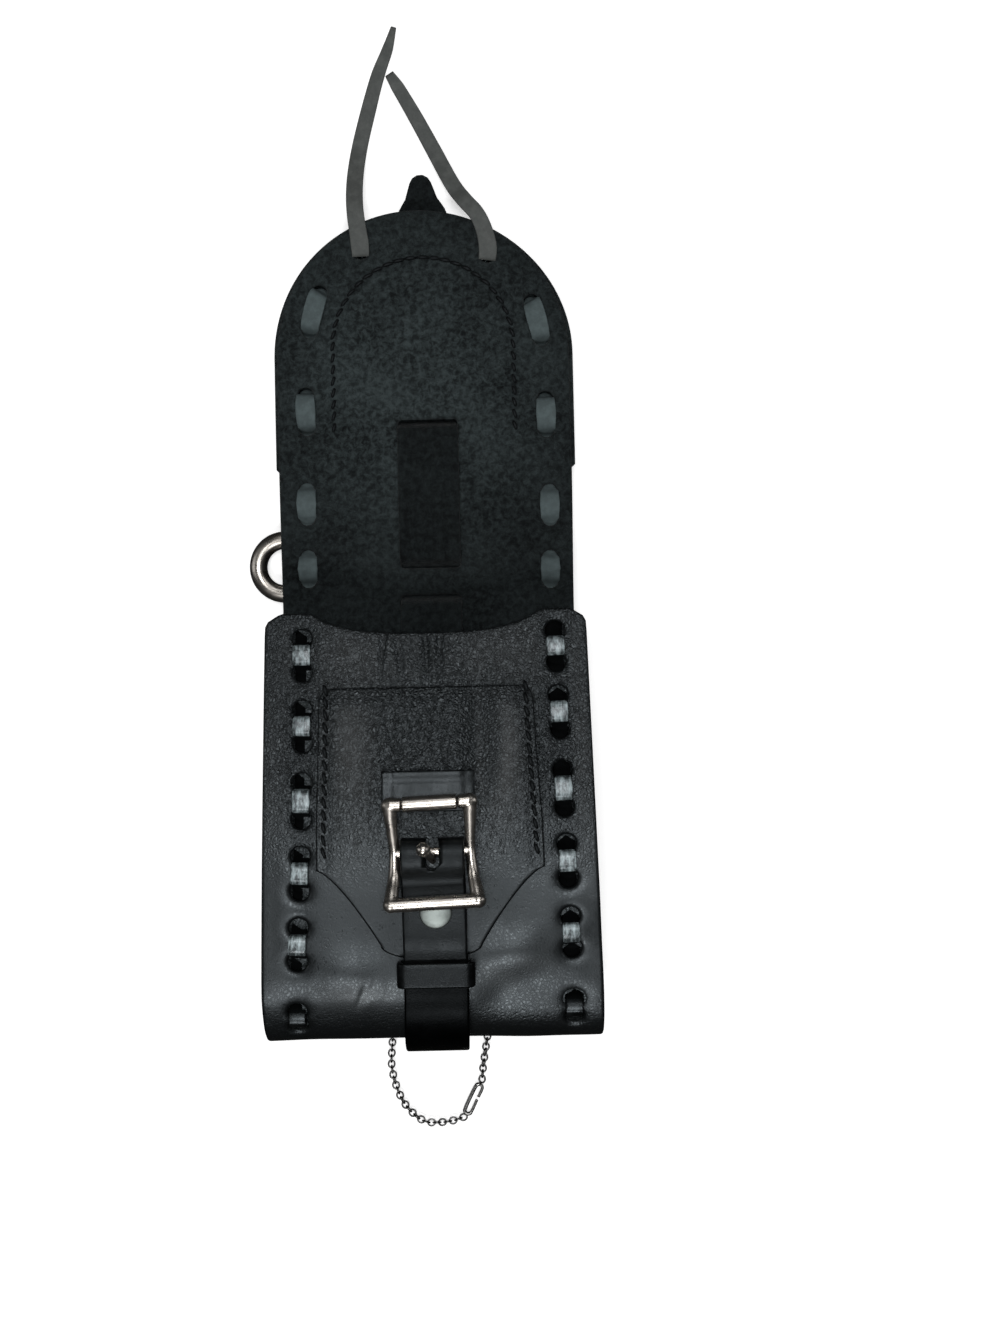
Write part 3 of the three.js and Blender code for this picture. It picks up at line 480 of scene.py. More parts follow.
def buildPebbleGroup():
    # Pebbled grain: rounded cells of uneven size with fine valleys, and slow patches of lighter leather.
    group, given, result = makeGroup("leatherPebble", {"Cells": 90.0}, ["Height", "Valley", "Patch"])
    warp = addNode(group, "ShaderNodeTexNoise", {"Vector": given["Vector"], "Scale": 46.0, "Detail": 2.0})
    push = vectorNode(group, "SCALE", {0: warp.outputs["Color"], "Scale": 0.022})
    moved = vectorNode(group, "ADD", {0: given["Vector"], 1: push.outputs[0]}).outputs[0]
    cells = addNode(group, "ShaderNodeTexVoronoi", {"Vector": moved, "Scale": given["Cells"]},
                    feature="DISTANCE_TO_EDGE")
    valley = spread(group, cells.outputs["Distance"], 0.0, 0.4)
    small = times(group, given["Cells"], 2.3)
    fine = addNode(group, "ShaderNodeTexVoronoi", {"Vector": moved, "Scale": small}, feature="SMOOTH_F1")
    fineHeight = spread(group, fine.outputs["Distance"], 0.1, 0.7, 1.0, 0.0)
    uneven = noiseNode(group, given["Vector"], 62.0, 3.0, 0.6)
    height = plus(group, times(group, valley, 0.55), times(group, fineHeight, 0.25))
    height = plus(group, height, times(group, uneven, 0.7))
    patch = noiseNode(group, given["Vector"], 7.0, 4.0, 0.6)
    feed(group, height, result["Height"])
    feed(group, valley, result["Valley"])
    feed(group, spread(group, patch, 0.3, 0.7), result["Patch"])
    return group


def buildNapGroup():
    # The flesh side: short matted nap, with darker rubbed and lighter brushed patches.
    group, given, result = makeGroup("leatherNap", {}, ["Height", "Fleck", "Patch"])
    fibre = noiseNode(group, given["Vector"], 150.0, 4.0, 0.7, 0.6)
    clump = noiseNode(group, given["Vector"], 62.0, 6.0, 0.75, 0.4)
    patch = noiseNode(group, given["Vector"], 5.5, 3.0, 0.55)
    feed(group, plus(group, times(group, fibre, 0.6), times(group, clump, 0.4)), result["Height"])
    feed(group, spread(group, clump, 0.4, 0.64), result["Fleck"])
    feed(group, spread(group, patch, 0.32, 0.7), result["Patch"])
    return group


def buildScuffGroup():
    # Fine scratches and rubs, for smooth leather and metal.
    group, given, result = makeGroup("scuff", {"Scale": 1.0}, ["Mask", "Height"])
    scaled = vectorNode(group, "SCALE", {0: given["Vector"], "Scale": given["Scale"]}).outputs[0]
    broad = noiseNode(group, scaled, 14.0, 5.0, 0.65)
    feed(group, spread(group, broad, 0.42, 0.7), result["Mask"])
    feed(group, noiseNode(group, scaled, 120.0, 3.0, 0.6), result["Height"])
    return group


pebbleGroup = buildPebbleGroup()
napGroup = buildNapGroup()
scuffGroup = buildScuffGroup()


def placeGroup(tree, group, vector, inputs=()):
    return addNode(tree, "ShaderNodeGroup", {"Vector": vector, **dict(inputs)}, node_tree=group).outputs


def startMaterial(name, roughness, specular, coat=0.0, coatRoughness=0.3, sheen=0.0):
    material = bpy.data.materials.new(name)
    material.use_nodes = True
    sockets = material.node_tree.nodes["Principled BSDF"].inputs
    values = {"Roughness": roughness, "Specular IOR Level": specular, "Coat Weight": coat,
              "Coat Roughness": coatRoughness, "Sheen Weight": sheen, "Sheen Roughness": 0.45}
    for label, value in values.items():
        sockets[label].default_value = value
    if specular < 0.6:
        sockets["Specular Tint"].default_value = (0.84, 0.94, 1.0, 1.0)
    return material, material.node_tree, sockets


def patternVector(tree, useUv):
    if useUv:
        return addNode(tree, "ShaderNodeUVMap", uv_map="pattern").outputs["UV"]
    source = addNode(tree, "ShaderNodeTexCoord").outputs["Object"]
    return vectorNode(tree, "SCALE", {0: source, "Scale": patternScale / mm}).outputs[0]


def bumpFrom(tree, height, strength, distance):
    inputs = {"Height": height, "Strength": strength, "Distance": distance}
    return addNode(tree, "ShaderNodeBump", inputs).outputs["Normal"]


def glossAndPaintedHighlightAt(tree, vector, spots):
    # Where the leather gets painted highlight and coat gloss: soft spots of (x, y on the front, half width,
    # half length, amount).
    place = addNode(tree, "ShaderNodeSeparateXYZ", {0: vector}).outputs
    total = None
    for x, y, wide, long, amount in spots:
        aside = minus(tree, place["X"], x * patternScale)
        beyond = minus(tree, place["Y"], frontS(y) * patternScale)
        across = mathNode(tree, "DIVIDE", aside, wide * patternScale)
        along = mathNode(tree, "DIVIDE", beyond, long * patternScale)
        reach = plus(tree, times(tree, across, across), times(tree, along, along))
        spot = times(tree, mathNode(tree, "EXPONENT", times(tree, reach, -1.0)), amount)
        total = spot if total is None else plus(tree, total, spot)
    return total


def pebbledLeather(name, dark, light, cells=115.0, roughness=(0.31, 0.47), bump=0.9, useUv=True, highlightAndGlossSpots=()):
    # The grain is pressed flat low on the front, round the place where the pattern's s is 50 mm.
    material, tree, sockets = startMaterial(name, 0.5, 0.5)
    vector = patternVector(tree, useUv)
    grain = placeGroup(tree, pebbleGroup, vector, {"Cells": cells})
    patch = plus(tree, times(tree, grain["Patch"], 0.6), 0.4)
    color = mixColors(tree, times(tree, grain["Valley"], patch), dark, light)
    if highlightAndGlossSpots:
        paintedHighlightAndGloss = glossAndPaintedHighlightAt(tree, vector, highlightAndGlossSpots)
        # the spots lighten the base colour as a painted highlight, and raise the coat as real gloss
        color = mixColors(tree, times(tree, paintedHighlightAndGloss, grain["Valley"]), color, gray(0.05))
        feed(tree, times(tree, paintedHighlightAndGloss, 0.5), sockets["Coat Weight"])
        sockets["Coat Roughness"].default_value = 0.38
    rough = spread(tree, grain["Valley"], 0.0, 1.0, roughness[1], roughness[0])
    height = grain["Height"]
    if useUv:
        place = addNode(tree, "ShaderNodeSeparateXYZ", {0: vector}).outputs
        away = mathNode(tree, "ABSOLUTE", minus(tree, place["Y"], 0.5))
        pressed = spread(tree, away, 0.14, 0.42)
        height = times(tree, height, plus(tree, times(tree, pressed, 0.94), 0.06))
        rough = plus(tree, rough, times(tree, minus(tree, pressed, 1.0), 0.04))
    feed(tree, color, sockets["Base Color"])
    feed(tree, plus(tree, rough, spread(tree, grain["Patch"], 0.0, 1.0, 0.06, -0.04)), sockets["Roughness"])
    feed(tree, bumpFrom(tree, height, bump, 0.00034), sockets["Normal"])
    return material


def nappedLeather(name, dark, light, lighterMiddle=0.0):
    # the last argument makes the nap lighter in the middle of the flap, where the pattern's y is about -1.5,
    # and darker further out.
    material, tree, sockets = startMaterial(name, 0.85, 0.15, sheen=0.05)
    vector = patternVector(tree, True)
    nap = placeGroup(tree, napGroup, vector)
    tone = plus(tree, times(tree, nap["Fleck"], 0.6), times(tree, nap["Patch"], 0.3))
    if lighterMiddle:
        away = vectorNode(tree, "DISTANCE", {0: vector, 1: (-0.04, -1.52, 0.0)}).outputs["Value"]
        tone = times(tree, tone, spread(tree, away, 0.12, 0.5, 1.0 + lighterMiddle, 1.0 - lighterMiddle))
    feed(tree, mixColors(tree, tone, dark, light), sockets["Base Color"])
    feed(tree, bumpFrom(tree, nap["Height"], 1.0, 0.0006), sockets["Normal"])
    return material


def smoothLeather(name, dark, light, roughness, coat=0.0, useUv=True, scale=1.0, specular=0.25, streak=1.0):
    # streak stretches the marks along the piece.
    material, tree, sockets = startMaterial(name, 0.45, specular, coat, 0.25)
    vector = patternVector(tree, useUv)
    if streak > 1:
        vector = vectorNode(tree, "MULTIPLY", {0: vector, 1: (streak, 1.0, 1.0)}).outputs[0]
    scuff = placeGroup(tree, scuffGroup, vector, {"Scale": scale})
    grain = placeGroup(tree, pebbleGroup, vector, {"Cells": 150.0})
    height = plus(tree, times(tree, grain["Height"], 0.6), times(tree, scuff["Height"], 0.4))
    feed(tree, mixColors(tree, scuff["Mask"], dark, light), sockets["Base Color"])
    feed(tree, spread(tree, scuff["Mask"], 0.0, 1.0, *roughness), sockets["Roughness"])
    feed(tree, bumpFrom(tree, height, 0.35, 0.00012), sockets["Normal"])
    return material


def platedMetal(name, color, roughness):
    material, tree, sockets = startMaterial(name, 0.2, 1.0)
    sockets["Metallic"].default_value = 1.0
    scuff = placeGroup(tree, scuffGroup, patternVector(tree, False), {"Scale": 2.0})
    bright, dull = (*color, 1.0), (*(c * 0.72 for c in color), 1.0)
    feed(tree, mixColors(tree, scuff["Mask"], bright, dull), sockets["Base Color"])
    feed(tree, spread(tree, scuff["Mask"], 0.0, 1.0, *roughness), sockets["Roughness"])
    feed(tree, bumpFrom(tree, scuff["Height"], 0.12, 0.00005), sockets["Normal"])
    return material


def gray(level, tint=(0.86, 1.02, 1.06)):
    return tuple(level * t for t in tint) + (1.0,)


teal = (0.8, 1.03, 1.06)
tailTint = (0.98, 1.03, 0.98)
# spots of painted highlight that also get a coat gloss, as the spot function above reads them
frontGlossAndPaintedHighlight = [
    (-19.0, -41.5, 8.0, 3.5, 0.75), (16.0, -37.0, 5.0, 3.0, 0.3), (24.0, -33.0, 5.0, 3.0, 0.35),
    (31.0, -29.0, 4.0, 3.0, 0.2), (-20.0, 42.0, 14.0, 8.0, 0.2), (20.0, 42.0, 14.0, 8.0, 0.15),
    (-38.5, 5.0, 3.0, 45.0, 0.3), (38.5, 5.0, 3.0, 45.0, 0.25),
]
pocketGlossAndPaintedHighlight = [(-19.0, 18.0, 5.0, 16.0, 0.34), (17.5, 16.0, 4.5, 15.0, 0.5), (-18.0, -8.0, 7.0, 10.0, 0.1)]
black = gray(0.001)
finish = {
    "grain": pebbledLeather("pebbledBlackLeather", black, gray(0.009), highlightAndGlossSpots=frontGlossAndPaintedHighlight),
    "pocketGrain": pebbledLeather("pocketBlackLeather", black, gray(0.009), 108.0, (0.3, 0.46), 1.0,
                                  highlightAndGlossSpots=pocketGlossAndPaintedHighlight),
    "gusset": pebbledLeather("gussetLeather", gray(0.012), gray(0.045), 95.0, useUv=False),
    "nap": nappedLeather("fleshSideLeather", gray(0.001, teal), gray(0.052, teal), 0.45),
    "darkNap": nappedLeather("fleshSideShadedLeather", gray(0.001, teal), gray(0.02, teal)),
    "edge": smoothLeather("cutEdgeLeather", black, gray(0.005), (0.7, 0.85)),
    "strap": smoothLeather("strapLeather", black, gray(0.006), (0.35, 0.47), specular=0.2),
    "patch": smoothLeather("bucklePatchLeather", black, gray(0.01), (0.36, 0.48), specular=0.42, streak=2.0),
    "strapShade": smoothLeather("strapShadedLeather", gray(0.0003), black, (0.34, 0.44), specular=0.05),
    "keeper": smoothLeather("keeperLeather", gray(0.0005), gray(0.003), (0.34, 0.46), specular=0.22),
    "lace": smoothLeather("laceLeather", gray(0.035), gray(0.5), (0.28, 0.4), 0.3, scale=3.0, specular=0.5,
                          streak=2.5),
    "laceDull": smoothLeather("laceDullLeather", gray(0.078, teal), gray(0.115, teal), (0.75, 0.9),
                              scale=3.0),
    "laceDark": smoothLeather("laceShadedLeather", gray(0.0005), gray(0.003), (0.8, 0.9), specular=0.1),
    # near-black lace finish: painted shade where the lace goes round the base
    "laceBaseShade": smoothLeather("laceBaseShadeLeather", black, gray(0.01), (0.3, 0.42), specular=0.45),
    "tail": smoothLeather("laceTailLeather", gray(0.072, tailTint), gray(0.108, tailTint), (0.65, 0.8),
                          scale=2.0),
    "thread": smoothLeather("waxedThread", gray(0.0005), gray(0.003), (0.55, 0.7), useUv=False, scale=6.0),
    "nickel": platedMetal("nickelPlate", (0.56, 0.525, 0.48), (0.26, 0.4)),
    "rivet": platedMetal("rivetPlate", (0.25, 0.28, 0.268), (0.45, 0.6)),
    "chain": platedMetal("chainPlate", (0.11, 0.11, 0.108), (0.25, 0.4)),
    "clasp": platedMetal("claspPlate", (0.24, 0.24, 0.235), (0.2, 0.34)),
}
grainMaterials = [finish["grain"], finish["nap"], finish["edge"]]
print("materials made")


# the long panel: flap, back, base and front in one
panelSet = {
    "flapHalf": 37.6, "hingeHalf": 37.3, "mouthHalf": 39.2, "baseHalf": 41.6, "archTop": 156.9,
    "archRise": 38.0, "archLean": -1.2, "lowerY": 88.8, "scoopHalf": 29.5, "scoopDepth": 5.3,
    "edgeRound": 0.75, "spacing": 1.5, "outlineStep": 4,
    # (in from the side, down from the end) of the points that round the front's upper corners
    "corner": [(0, 3.2), (0.7, 1.9), (3.2, 0.4), (4.5, 0)],
    # (x, y, reach, depth, lean) of soft folds below the front's notch, and of wrinkles low at the left
    "folds": [
        (-10.2, 45.0, 7.0, 0.54, 0.12), (-6.2, 40.5, 4.5, 0.4, -0.1), (0.0, 43.0, 8.0, 0.6, -0.05),
        (3.4, 43.0, 7.0, 0.44, 0.04), (9.5, 44.5, 5.0, 0.2, 0.0),
        (-17.2, -41.0, 3.0, 0.2, 0.4), (-15.4, -40.4, 3.0, 0.22, 0.45), (-13.6, -39.8, 2.2, 0.15, 0.4),
    ],
    "foldHalf": 0.8, "ridge": 0.6, "ridgeAside": 1.4, "ridgeHalf": 0.9,
    # (low x, high x, low y, high y, spacing) of the places that need closer points for them
    "fine": [(-13.0, 9.0, 33.0, 50.0, 0.45), (-22.0, -10.0, -45.0, -36.0, 0.5)],
}
laceSet = {
    "width": 4.2, "flapWidth": 5.0, "throatWidth": 3.5, "thickness": 0.9,
    "holeRadius": 2.35, "tailHole": 1.65, "flapHole": 2.0, "holeSides": 18,
    "backHoles": 11, "firstBack": 57.0, "underBase": [4.0, 13.0],
    "mouthX": 31.3, "baseX": 34.3, "leftIn": 1.2, "leftBow": 2.6,
    # (y, x) of the holes on the flap, y of those on the front, and s of those round the base
    "flapLeft": [(145.5, -15.5), (135.3, -26.4), (125.7, -29.1), (108.9, -30.5), (100.4, -30.2),
                 (84.3, -30.6), (77.3, -30.6), (67.0, -30.6), (61.2, -30.6)],
    "flapRight": [(143.9, 17.1), (131.9, 28.2), (122.4, 30.5), (106.7, 31.2), (98.7, 31.3), (82.7, 31.7),
                  (75.9, 31.7), (65.7, 31.5), (59.9, 31.5)],
    "frontLeft": [-32.3, -24.2, -15.2, -6.9, 2.0, 10.8, 20.5, 28.4, 37.6, 45.7],
    "frontRight": [-30.6, -22.8, -13.5, -5.2, 3.7, 12.6, 22.6, 30.8, 38.8, 46.6],
    "baseLeft": [28.5, 33.2], "baseRight": [29.9, 35.0],
    # how far from a hole's middle it lies flat, and how far it is from there where it has sunk by dip
    "flapReach": (2.5, 0.75), "frontReach": (2.2, 0.875), "dip": 0.8, "shift": 1.15,
    # how far it stands off the leather between two holes, and how narrow it is in one
    "slack": 0.12, "pinched": 0.94,
    # where it is in the shade of the base, from the end of the bend
    "baseShade": (-22, 3),
}


def mix(a, b, t):
    return a + (b - a) * t


def halfWidthAt(s):
    p = panelSet
    if s > 0:
        run = min(1.0, max(0.0, (s - bendLength) / frontRun))
        return mix(p["baseHalf"], p["mouthHalf"], run)
    y = onBackY(s)
    back = mix(p["baseHalf"], p["hingeHalf"], smooth(y, path["base"], path["mouth"]))
    return mix(back, p["flapHalf"], smooth(y, path["mouth"], p["lowerY"]))


def archPoints(halfWide, topY, rise):
    # Half of an elliptical end, from the top to where the side starts, as (x, y).
    angles = [math.pi / 2 * k / 40 for k in range(41)]
    return [(halfWide * math.sin(a), topY - rise + rise * math.cos(a)) for a in angles]


def leanAt(s):
    # The arched end leans a little to the left, the more the nearer its top.
    p = panelSet
    up = max(0.0, onBackY(s) - (p["archTop"] - p["archRise"])) / p["archRise"]
    return p["archLean"] * min(1.0, up) ** 2


def leaned(outline):
    return [Vector((p.x + leanAt(p.y), p.y)) for p in outline]


def panelOutline():
    p = panelSet
    right = [(x, backS(y)) for x, y in archPoints(p["flapHalf"], path["flapEnd"], p["archRise"])]
    s = right[-1][1] + p["outlineStep"]
    end = frontS(path["mouth"])
    while s < end - 3.4:
        right.append((halfWidthAt(s), s))
        s += p["outlineStep"]
    right += [(p["mouthHalf"] - aside, end - below) for aside, below in p["corner"]]
    left = [(-x, s) for x, s in reversed(right[1:])]
    scoop = []
    for k in range(41):
        x = p["scoopHalf"] * (1 - k / 20)
        fall = (1 - abs(x / p["scoopHalf"]) ** 3) * smooth(p["scoopHalf"] - abs(x), 0, 5)
        scoop.append((x, end - p["scoopDepth"] * fall))
    return leaned([Vector(q) for q in right + scoop + left])


def holesOf(side):
    sign = -1 if side == "Left" else 1
    flap = [(backS(y), x) for y, x in laceSet["flap" + side]]
    count = laceSet["backHoles"] + 1
    stations = [mix(backS(laceSet["firstBack"]), laceSet["underBase"][0], k / count) for k in range(1, count)]
    back = []
    for s in stations + laceSet["underBase"]:
        wide = mix(laceSet["mouthX"], laceSet["baseX"], min(1.0, max(0.0, 1 + s / frontRun)))
        back.append((s, sign * (wide if s < 0 else laceSet["baseX"])))
    leftIn = laceSet["leftIn"] if side == "Left" else 0.0
    base = [(s, sign * (laceSet["baseX"] - leftIn)) for s in laceSet["base" + side]]
    front = []
    for y in laceSet["front" + side]:
        run = min(1.0, max(0.0, (frontS(y) - bendLength) / frontRun))
        inwards = leftIn * (1 + laceSet["leftBow"] * run * (1 - run))
        front.append((frontS(y), sign * (mix(laceSet["baseX"], laceSet["mouthX"], run) - inwards)))
    return flap + back + base + front


laceHoles = {"Left": holesOf("Left"), "Right": holesOf("Right")}


def laceTurn(holes, i):
    before, after = holes[max(0, i - 1)], holes[min(len(holes) - 1, i + 1)]
    return math.atan2(after[1] - before[1], after[0] - before[0])


def holeLoop(holes, i):
    s, x = holes[i]
    turn = laceTurn(holes, i)
    cosTurn, sinTurn = math.cos(turn), math.sin(turn)
    radius = laceSet["tailHole" if i == 0 else "flapHole" if s < backS(55) else "holeRadius"]
    count, loop = laceSet["holeSides"], []
    for k in range(count):
        a, b = radius * math.cos(2 * math.pi * k / count), radius * math.sin(2 * math.pi * k / count)
        loop.append(Vector((x + a * cosTurn + b * sinTurn, s + b * cosTurn - a * sinTurn)))
    return loop


# the strap's sizes stand here because the panel's slits follow it
strapSet = {
    "width": 15.6, "narrow": 15.3, "thickness": 1.8, "tipY": 167.2, "tipX": -0.2, "floorZ": 0.9, "slitX": 0.8,
    "frontX": 1.1, "tip": [(0, 3.6), (0.8, 5.6), (3.4, 6.6), (6.2, 8.4), (9, 12), (14, 15), (24, 15.6)],
    "slits": {"upper": 99.9, "middle": 65.7, "lower": 54.8, "inside": 42.0}, "slitHalf": 7.6, "slitLong": 4.0,
    "slitCorner": 0.9, "prongHole": (1.65, 2.45), "fleshY": -30, "fleshZ": 20, "shadeY": -36.5,
    # radii of its turn round the base: along y behind and in front, and along z in front, less frontFall
    "backTurn": 20.1, "frontTurn": 15.1, "frontRise": 16.2, "frontFall": 1.1,
}


def slitLoop(y):
    wide, long = strapSet["slitHalf"], strapSet["slitLong"] / 2
    s, middleX = backS(y), strapSet["slitX"]
    corner, loop = strapSet["slitCorner"], []
    for qx, qy, start in ((1, 1, 0), (-1, 1, 90), (-1, -1, 180), (1, -1, 270)):
        cornerX, cornerS = middleX + qx * (wide - corner), s + qy * (long - corner)
        for k in range(4):
            a = math.radians(start + 30 * k)
            loop.append(Vector((cornerX + corner * math.cos(a), cornerS + corner * math.sin(a))))
    return alongLoop(loop, 1.0)


def panelFolds(s, x, _):
    # Each fold is a groove with a low ridge beside it. Both faces of the leather follow it.
    p, lift = panelSet, 0.0
    if s > bendLength - 9:
        y = onFrontY(s)
        for foldX, foldY, reach, depth, lean in p["folds"]:
            aside = x - foldX - lean * (y - foldY)
            along = math.exp(-((y - foldY) / reach) ** 2)
            ridge = p["ridge"] * math.exp(-((aside - p["ridgeAside"]) / p["ridgeHalf"]) ** 2)
            lift -= depth * along * (math.exp(-(aside / p["foldHalf"]) ** 2) - ridge)
    return lift


def makeBodyPanel():
    holes = [holeLoop(laceHoles[side], i) for side in laceHoles for i in range(len(laceHoles[side]))]
    slits = [slitLoop(y) for y in strapSet["slits"].values()]
    fine = [(lowX, highX, frontS(lowY), frontS(highY), step)
            for lowX, highX, lowY, highY, step in panelSet["fine"]]
    bm, rimTree, holeTree = cutSheet(panelOutline(), holes + slits, panelSet["spacing"], fine=fine)
    formSheet(bm, rimTree, holeTree, -half, half, panelSet["edgeRound"], panelFolds)
    return newPiece("body_panel_leather", bm, grainMaterials, replaces=["body_panel"])


makeBodyPanel()
print("long panel cut and bent")


# the flap's facing, and the arched patch on it
flapSet = {
    "facingHalf": 38.6, "facingTop": 156.9, "facingRise": 38.0, "facing": 1.6,
    "patchHalf": 25.5, "patchTop": 145.6, "patchRise": 24.0, "patchLow": 97.0, "patch": 1.4,
    "notchHalf": 9.2, "notchY": 108.0,
}


def mirrored(right):
    return right + [(-x, y) for x, y in reversed(right)]


def makeFlapFacing():
    f = flapSet
    right = archPoints(f["facingHalf"], f["facingTop"], f["facingRise"])[1:]
    wide, lowY, corner = f["facingHalf"], panelSet["lowerY"], 1.2
    right += [(wide, 105.0), (wide, lowY + corner), (wide - corner, lowY)]
    outline = leaned([Vector((x, backS(y))) for x, y in mirrored(right)])
    holes = []
    for row in laceHoles.values():
        holes += [holeLoop(row, i) for i, (s, x) in enumerate(row) if onBackY(s) > lowY]
    low = half + gap
    bm, rimTree, holeTree = cutSheet(outline, holes + [slitLoop(strapSet["slits"]["upper"])], 2.2)
    formSheet(bm, rimTree, holeTree, low, low + f["facing"], 0.6)
    return newPiece("flap_facing_leather", bm, grainMaterials, replaces=["flap_facing"])


def makeFlapPatch():
    f = flapSet
    right = archPoints(f["patchHalf"], f["patchTop"], f["patchRise"])[1:]
    right += [(f["patchHalf"], 110.0), (f["patchHalf"], f["patchLow"])]
    notchRight, notchLeft = strapSet["slitX"] + f["notchHalf"], strapSet["slitX"] - f["notchHalf"]
    notch = [(notchRight, f["patchLow"]), (notchRight, f["notchY"]), (notchLeft, f["notchY"]),
             (notchLeft, f["patchLow"])]
    outline = right + notch + [(-x, y) for x, y in reversed(right)]
    low = half + gap + f["facing"] + gap
    bm, rimTree, holeTree = cutSheet(leaned([Vector((x, backS(y))) for x, y in outline]), [], 2.4)
    formSheet(bm, rimTree, holeTree, low, low + f["patch"], 0.5)
    return newPiece("flap_patch_leather", bm, grainMaterials, replaces=["flap_patch"])


makeFlapFacing()
makeFlapPatch()
print("flap layers made")


# the front pocket, and the strip behind the buckle
pocketSet = {
    "half": 27.8, "topY": 33.4, "corner": 3.0, "shoulderY": -10.3, "neckHalf": 12.4, "neckY": -28.6,
    "rise": 18.3, "endDepth": 3.6, "thickness": 1.6, "stitchInset": 1.9, "stitchPress": 0.5,
    "stitchReach": 0.9, "topPress": 1.0, "topReach": 3.0,
    # how much it narrows upwards on either side, and how much further in its left side lies all the way
    "taperRight": 0.07, "taperLeft": 0.045, "leftIn": 0.015,
}
bucklePatchSet = {
    "half": 11.2, "lowY": 3.4, "highY": 13.2, "thickness": 0.85,
    # a pressed line runs round inside its sides and top
    "lineInset": 2.1, "lineBelowTop": 2.2, "lineDepth": 0.25, "lineHalf": 0.42,
}


def pocketRight():
    # The right side of the pocket's outline, from its top edge down to the middle of its round end.
    p = pocketSet
    wide, neck, topY = p["half"], p["neckHalf"], p["topY"]
    points = [(wide - p["corner"], topY), (wide - 0.9, topY - 0.9), (wide, topY - p["corner"])]
    points += [(wide, y) for y in (20, 10, 0)]
    for k in range(15):
        u = k / 14
        points.append((wide - (wide - neck) * u ** 0.9, p["shoulderY"] - p["rise"] * u ** 1.25))
    for k in range(1, 11):
        a = math.pi / 2 * k / 10
        points.append((neck * math.cos(a), p["neckY"] - p["endDepth"] * math.sin(a)))
    return points


def pocketTaper(x, y):
    p = pocketSet
    up = smooth(y, p["shoulderY"], p["topY"])
    return 1 - (p["taperRight"] if x > 0 else p["taperLeft"]) * up - (0 if x > 0 else p["leftIn"])


def pocketPress(s, x, outer):
    # The leather sinks a little along its stitches, and its top edge is skived thin and lies nearly flush.
    p, y = pocketSet, onFrontY(s)
    side = abs(abs(x) / pocketTaper(x, y) - (p["half"] - p["stitchInset"]))
    stitched = outer and y > p["shoulderY"]
    press = -p["stitchPress"] * math.exp(-(side / p["stitchReach"]) ** 2) if stitched else 0.0
    return press - p["topPress"] * math.exp(-((p["topY"] - y) / p["topReach"]) ** 2)


def makePocket():
    right = pocketRight()
    both = right + [(-x, y) for x, y in reversed(right[:-1])]
    outline = [Vector((x * pocketTaper(x, y), frontS(y))) for x, y in both]
    low = half + gap
    bm, rimTree, holeTree = cutSheet(outline, [], 1.5, edgeSpacing=0.8)
    formSheet(bm, rimTree, holeTree, low, low + pocketSet["thickness"], 0.6, pocketPress)
    materials = [finish["pocketGrain"], finish["nap"], finish["edge"]]
    return newPiece("front_pocket_leather", bm, materials, replaces=["front_pocket"])


def patchLine(s, x, outer):
    b, y = bucklePatchSet, onFrontY(s)
    below = max(0.0, b["lowY"] + 1 - y)
    line = min(abs(y - (b["highY"] - b["lineBelowTop"])), abs(abs(x) - (b["half"] - b["lineInset"])) + below)
    return -b["lineDepth"] * math.exp(-(line / b["lineHalf"]) ** 2) if outer else 0.0


def makeBucklePatch():
    b = bucklePatchSet
    low = half + gap + pocketSet["thickness"] + gap
    wide, lowS, highS = b["half"], frontS(b["lowY"]), frontS(b["highY"])
    corners = [Vector(corner) for corner in ((-wide, lowS), (wide, lowS), (wide, highS), (-wide, highS))]
    bm, rimTree, holeTree = cutSheet(corners, [], 0.8, edgeSpacing=0.7)
    formSheet(bm, rimTree, holeTree, low, low + b["thickness"], 0.4, patchLine)
    materials = [finish["patch"], finish["nap"], finish["edge"]]
    return newPiece("buckle_patch_leather", bm, materials, replaces=["buckle_patch"])


makePocket()
makeBucklePatch()
print("pocket made")


# the long strap is folded over the buckle's bar, so the buckle's sizes stand here
buckleSet = {
    "turn": math.radians(2.2), "centreX": 0.9, "barY": -5.8, "barZ": 39.35, "barRadius": 1.15, "barHalf": 9.0,
    "rollerReach": 11.7, "rollerLift": 0.4, "rollerRadius": 1.85, "rollerHalf": 6.5, "rollerEdge": 0.28,
    "axleRadius": 0.95, "cornerX": 9.55, "heelReach": 11.6, "heelLift": 4.1, "heelHalf": 10.4,
    "heelRadius": 1.6, "armWidth": 3.3, "stubWidth": 3.6, "armHeel": 3.5,
    # the corner's ball is flattened, to clear the patch when the frame tilts
    "ballX": 9.45, "ballBack": 0.2, "ballRadius": 2.15, "ballFlat": 0.78,
    # (x, y, z, diameter) along the right arm, between its corner and its heel
    "arm": [(9.5, 9.4, 0.3, 3.3), (9.35, 6.0, 0.15, 2.8), (9.1, 0.0, 0.0, 2.4), (9.45, -5.6, 1.0, 2.8),
            (10.0, -9.0, 2.7, 3.3)],
}


def throughSlit(y, outerLift, inwards):
    s = strapSet
    beyond = max(0.0, y - path["mouth"])
    z = path["backZ"] - path["flapDrop"] * (beyond / flapRun) ** 2
    above = s["thickness"] / 2 + gap
    inner, outer = z + half + above, z - outerLift - above
    stops = [(4, outer), (1, outer + 0.6), (-1, inner - 0.6), (-4, inner)]
    out = [(y + step if inwards else y - step, height, s["width"], s["slitX"]) for step, height in stops]
    return out if inwards else out[::-1]


